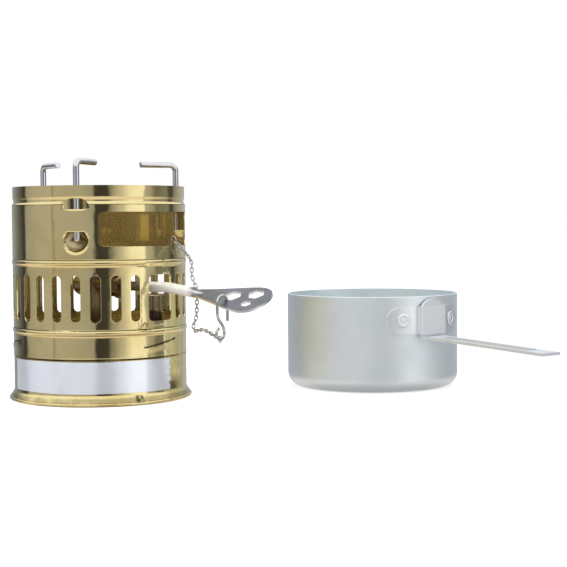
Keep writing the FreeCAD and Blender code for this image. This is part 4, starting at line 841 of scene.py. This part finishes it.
fibre = soft_stuff("fibre", (0.30, 0.11, 0.06), (0.16, 0.05, 0.03), 0.5, 0.7, 0.5)
finish(fibre, "stem_washer", "gland_washer")
finish(soft_stuff("wick_cotton", (0.74, 0.70, 0.60), (0.42, 0.36, 0.27), 0.4, 0.9, 0.8), "wick")
finish(soft_stuff("packing", (0.10, 0.10, 0.10), (0.04, 0.04, 0.045), 0.6, 0.6, 0.5), "gland_packing")

# ---- burner ----
# Spun brass bell on the stem, browned by the flame, with a domed spreader of steel sheet over it.
bell_brass = brass("bell_brass", (0.80, 0.60, 0.27), (0.50, 0.31, 0.13), 0.16, wave=0.03, smoke=0.5)
finish(bell_brass, "burner_bell")
spreader_steel = steel("spreader_steel", (0.50, 0.46, 0.42), (0.24, 0.19, 0.16), 0.24, wave=0.03)
finish(spreader_steel, "flame_spreader")

# ---- filler ----
# Brass neck soldered into the tank, with a knurled cap that holds a rubber gasket and the
# safety valve.
# The cap's brass is darkened partly as painted shade, for the shade it sits in inside the windscreen.
cap_brass = brass("cap_brass", (0.46, 0.39, 0.22), (0.24, 0.19, 0.11), 0.24, wave=0.01, lines=1.0)
finish(cap_brass, "filler_cap", "relief_pin")
# painted shadow: the neck is near black, standing for the shadow under the cap
neck_painted_shadow = brass("neck_painted_shadow", (0.15, 0.11, 0.085), (0.08, 0.055, 0.05), 0.3, wave=0.01, lines=1.0)
finish(neck_painted_shadow, "filler_neck")
rubber = soft_stuff("gasket_rubber", (0.035, 0.035, 0.035), (0.015, 0.015, 0.015), 0.8, 0.55, 0.3)
finish(rubber, "cap_gasket")

# ---- key, chain and hook ----
# Nickelled steel shank bent down to a dull flat plate with three spanner holes.  It hangs by an
# S-hook and a steel chain from the windscreen, so that it isn't lost.
def key_metal(name, plate_way):
    """Satin nickel on the shank.  The plate's two faces, which look along plate_way, are dark grey,
    partly a dull finish and partly a painted dark reflection, and its cut edges are painted bright
    as a highlight."""
    shank_end, plate_start = 0.0665, 0.0715    # distance from the stove's axis in metres
    made = bpy.data.materials.new(name)
    g = Graph(made)
    place = g.node("ShaderNodeTexCoord", output="Object")
    facing = g.node("ShaderNodeTexCoord", output="Normal")
    square_on = g.node("ShaderNodeVectorMath", {"operation": "DOT_PRODUCT"},
                       {0: facing, 1: plate_way}, output="Value")
    x, y, z = g.split(place)
    far = g.node("ShaderNodeMath", {"operation": "SQRT"}, {0: x * x + y * y})
    plate = g.ease(far, shank_end, plate_start)
    face = g.ease(square_on * square_on, 0.62, 0.9)
    cloud = g.noise(place, 120.0, 4.0, 0.55)
    speck = g.noise(place, 1500.0, 3.0)
    worn = g.ease(cloud + speck * 0.3, 0.5, 0.95)
    satin = g.mix(worn, (0.95, 0.95, 0.91), (0.80, 0.79, 0.74))
    dull = g.mix(worn, (0.22, 0.232, 0.262), (0.15, 0.157, 0.18))
    # painted highlight: faces of the plate that don't look along plate_way, its cut edges, are near
    # white; its faces are dark grey, partly a painted dark reflection
    edge = (0.90, 0.92, 0.95)
    colour = g.mix(plate, satin, g.mix(face, edge, dull))
    rough = 0.4 - plate * (1 - face) * 0.15 - plate * face * 0.1 + worn * 0.08
    g.surface(colour, 0.55 + plate * 0.45, rough, g.bump(0.2, 0.00001, cloud + speck))
    return made


finish(key_metal("key_steel", (-0.162, -0.401, 0.902)), "key")
finish(steel("hook_steel", (0.66, 0.65, 0.65), (0.42, 0.40, 0.40), 0.16, wave=0.02), "s_hook")
chain_steel = steel("chain_steel", (0.60, 0.59, 0.58), (0.36, 0.34, 0.33), 0.2, wave=0.01)
finish(chain_steel, "chain_ring", "chain_start", "chain_upper", "chain_lower", "chain_end")


def hoop(length, width, wire_r, turns=48, around=12):
    """Oval ring of round wire about a line of two straights and two half circles, lying along X:
    point (i, j) is at angle 2 pi j / around on the wire's circle at place i on that line."""
    bow = width / 2 - wire_r
    straight = length / 2 - wire_r - bow
    turn = 2 * np.pi * np.arange(turns) / turns
    out = np.stack((np.cos(turn), np.sin(turn), 0 * turn), 1)
    line = bow * out
    line[:, 0] += straight * np.clip(np.cos(turn) * 3, -1, 1)
    a = 2 * np.pi * np.arange(around) / around
    normal = out[:, None] * np.cos(a)[:, None] + np.sin(a)[:, None] * np.array((0.0, 0.0, 1.0))
    points = line[:, None] + wire_r * normal
    number = np.arange(turns * around).reshape(turns, around)
    after, above = np.roll(number, -1, 0), np.roll(number, -1, 1)
    order = np.stack((number, after, np.roll(after, -1, 1), above), -1).reshape(-1, 4)
    return points.reshape(-1, 3), [(order, normal.reshape(-1, 3)[order])]


# The link where the chain's two hanging lengths meet: link_lie's rows are the ways its length, its
# width and its flat side point.
link_length, link_width, link_wire_r = 3.5, 2.2, 0.3
link_at = (59.803, -35.707, 43.529)
link_lie = np.array(((-0.40797, -0.10502, -0.90694),
                     (0.22495, 0.95118, -0.21133),
                     (0.88485, -0.29023, -0.36443)))
points, patches = hoop(link_length, link_width, link_wire_r)
form = points @ link_lie + np.array(link_at), [(c, n @ link_lie) for c, n in patches]
piece("chain_joining_link", form, chain_steel, "upper_chain", "steel")


# ---- lid, used as a cup ----
# Drawn aluminium pan that fits over the windscreen upside down.  Its side is satin from the spin
# lathe, and its rim is plain.
cup_at = (146.4, 62.9)
cup_r, cup_wall, cup_height = 49.45, 1.0, 53.7


def aluminium(name, light, deep, roughness, spun):
    """Satin aluminium: very fine lines round the cup's own axis, dents too shallow to see but for
    how they bend the light, and a few duller patches.  spun is how strong the lines are."""
    made = bpy.data.materials.new(name)
    g = Graph(made)
    place = g.node("ShaderNodeMapping", {"vector_type": "POINT"}, {
        "Vector": g.node("ShaderNodeTexCoord", output="Object"),
        "Location": (-cup_at[0] / 1000, -cup_at[1] / 1000, 0.0)})
    x, y, z = g.split(place)
    round_it = g.node("ShaderNodeMath", {"operation": "ARCTAN2"}, {0: x, 1: y})
    far = g.node("ShaderNodeMath", {"operation": "SQRT"}, {0: x * x + y * y})
    track = g.node("ShaderNodeCombineXYZ", inputs={0: round_it * 0.9, 1: z * 2600.0, 2: far * 2600.0})
    line = g.noise(track, 1.0, 5.0, 0.75)
    cloud = g.noise(place, 38.0, 4.0, 0.55)
    speck = g.noise(place, 900.0, 3.0)
    dull = g.ease(cloud + speck * 0.12, 0.46, 0.74)
    unflat = g.bump(1.0, 0.00004, cloud)
    fine = g.bump(0.3 * spun, 0.00002, line, unflat)
    g.surface(g.mix(dull, light, deep), 0.8, roughness + dull * 0.06 + line * 0.08 * spun, fine)
    return made


pan = rounded((
    (0.0, 0.0), (cup_r, 0.0, 8.0), (cup_r, cup_height, 0.42), (cup_r - cup_wall, cup_height, 0.42),
    (cup_r - cup_wall, cup_wall, 7.0), (0.0, cup_wall),
), closed=False, steps=12)
cup_metal = aluminium("cup_aluminium", (0.86, 0.925, 0.945), (0.79, 0.86, 0.885), 0.38, 1.0)
piece("cup_pan", turned(pan, 320, cup_at), cup_metal, "cup", "aluminium", "cup")
fitting_metal = aluminium("fitting_aluminium", (0.93, 0.96, 0.98), (0.83, 0.87, 0.90), 0.33, 0.4)
finish(fitting_metal, "cup_bracket", "cup_rivets")
handle_metal = aluminium("handle_aluminium", (0.88, 0.91, 0.93), (0.78, 0.82, 0.85), 0.33, 0.4)
finish(handle_metal, "cup_handle")
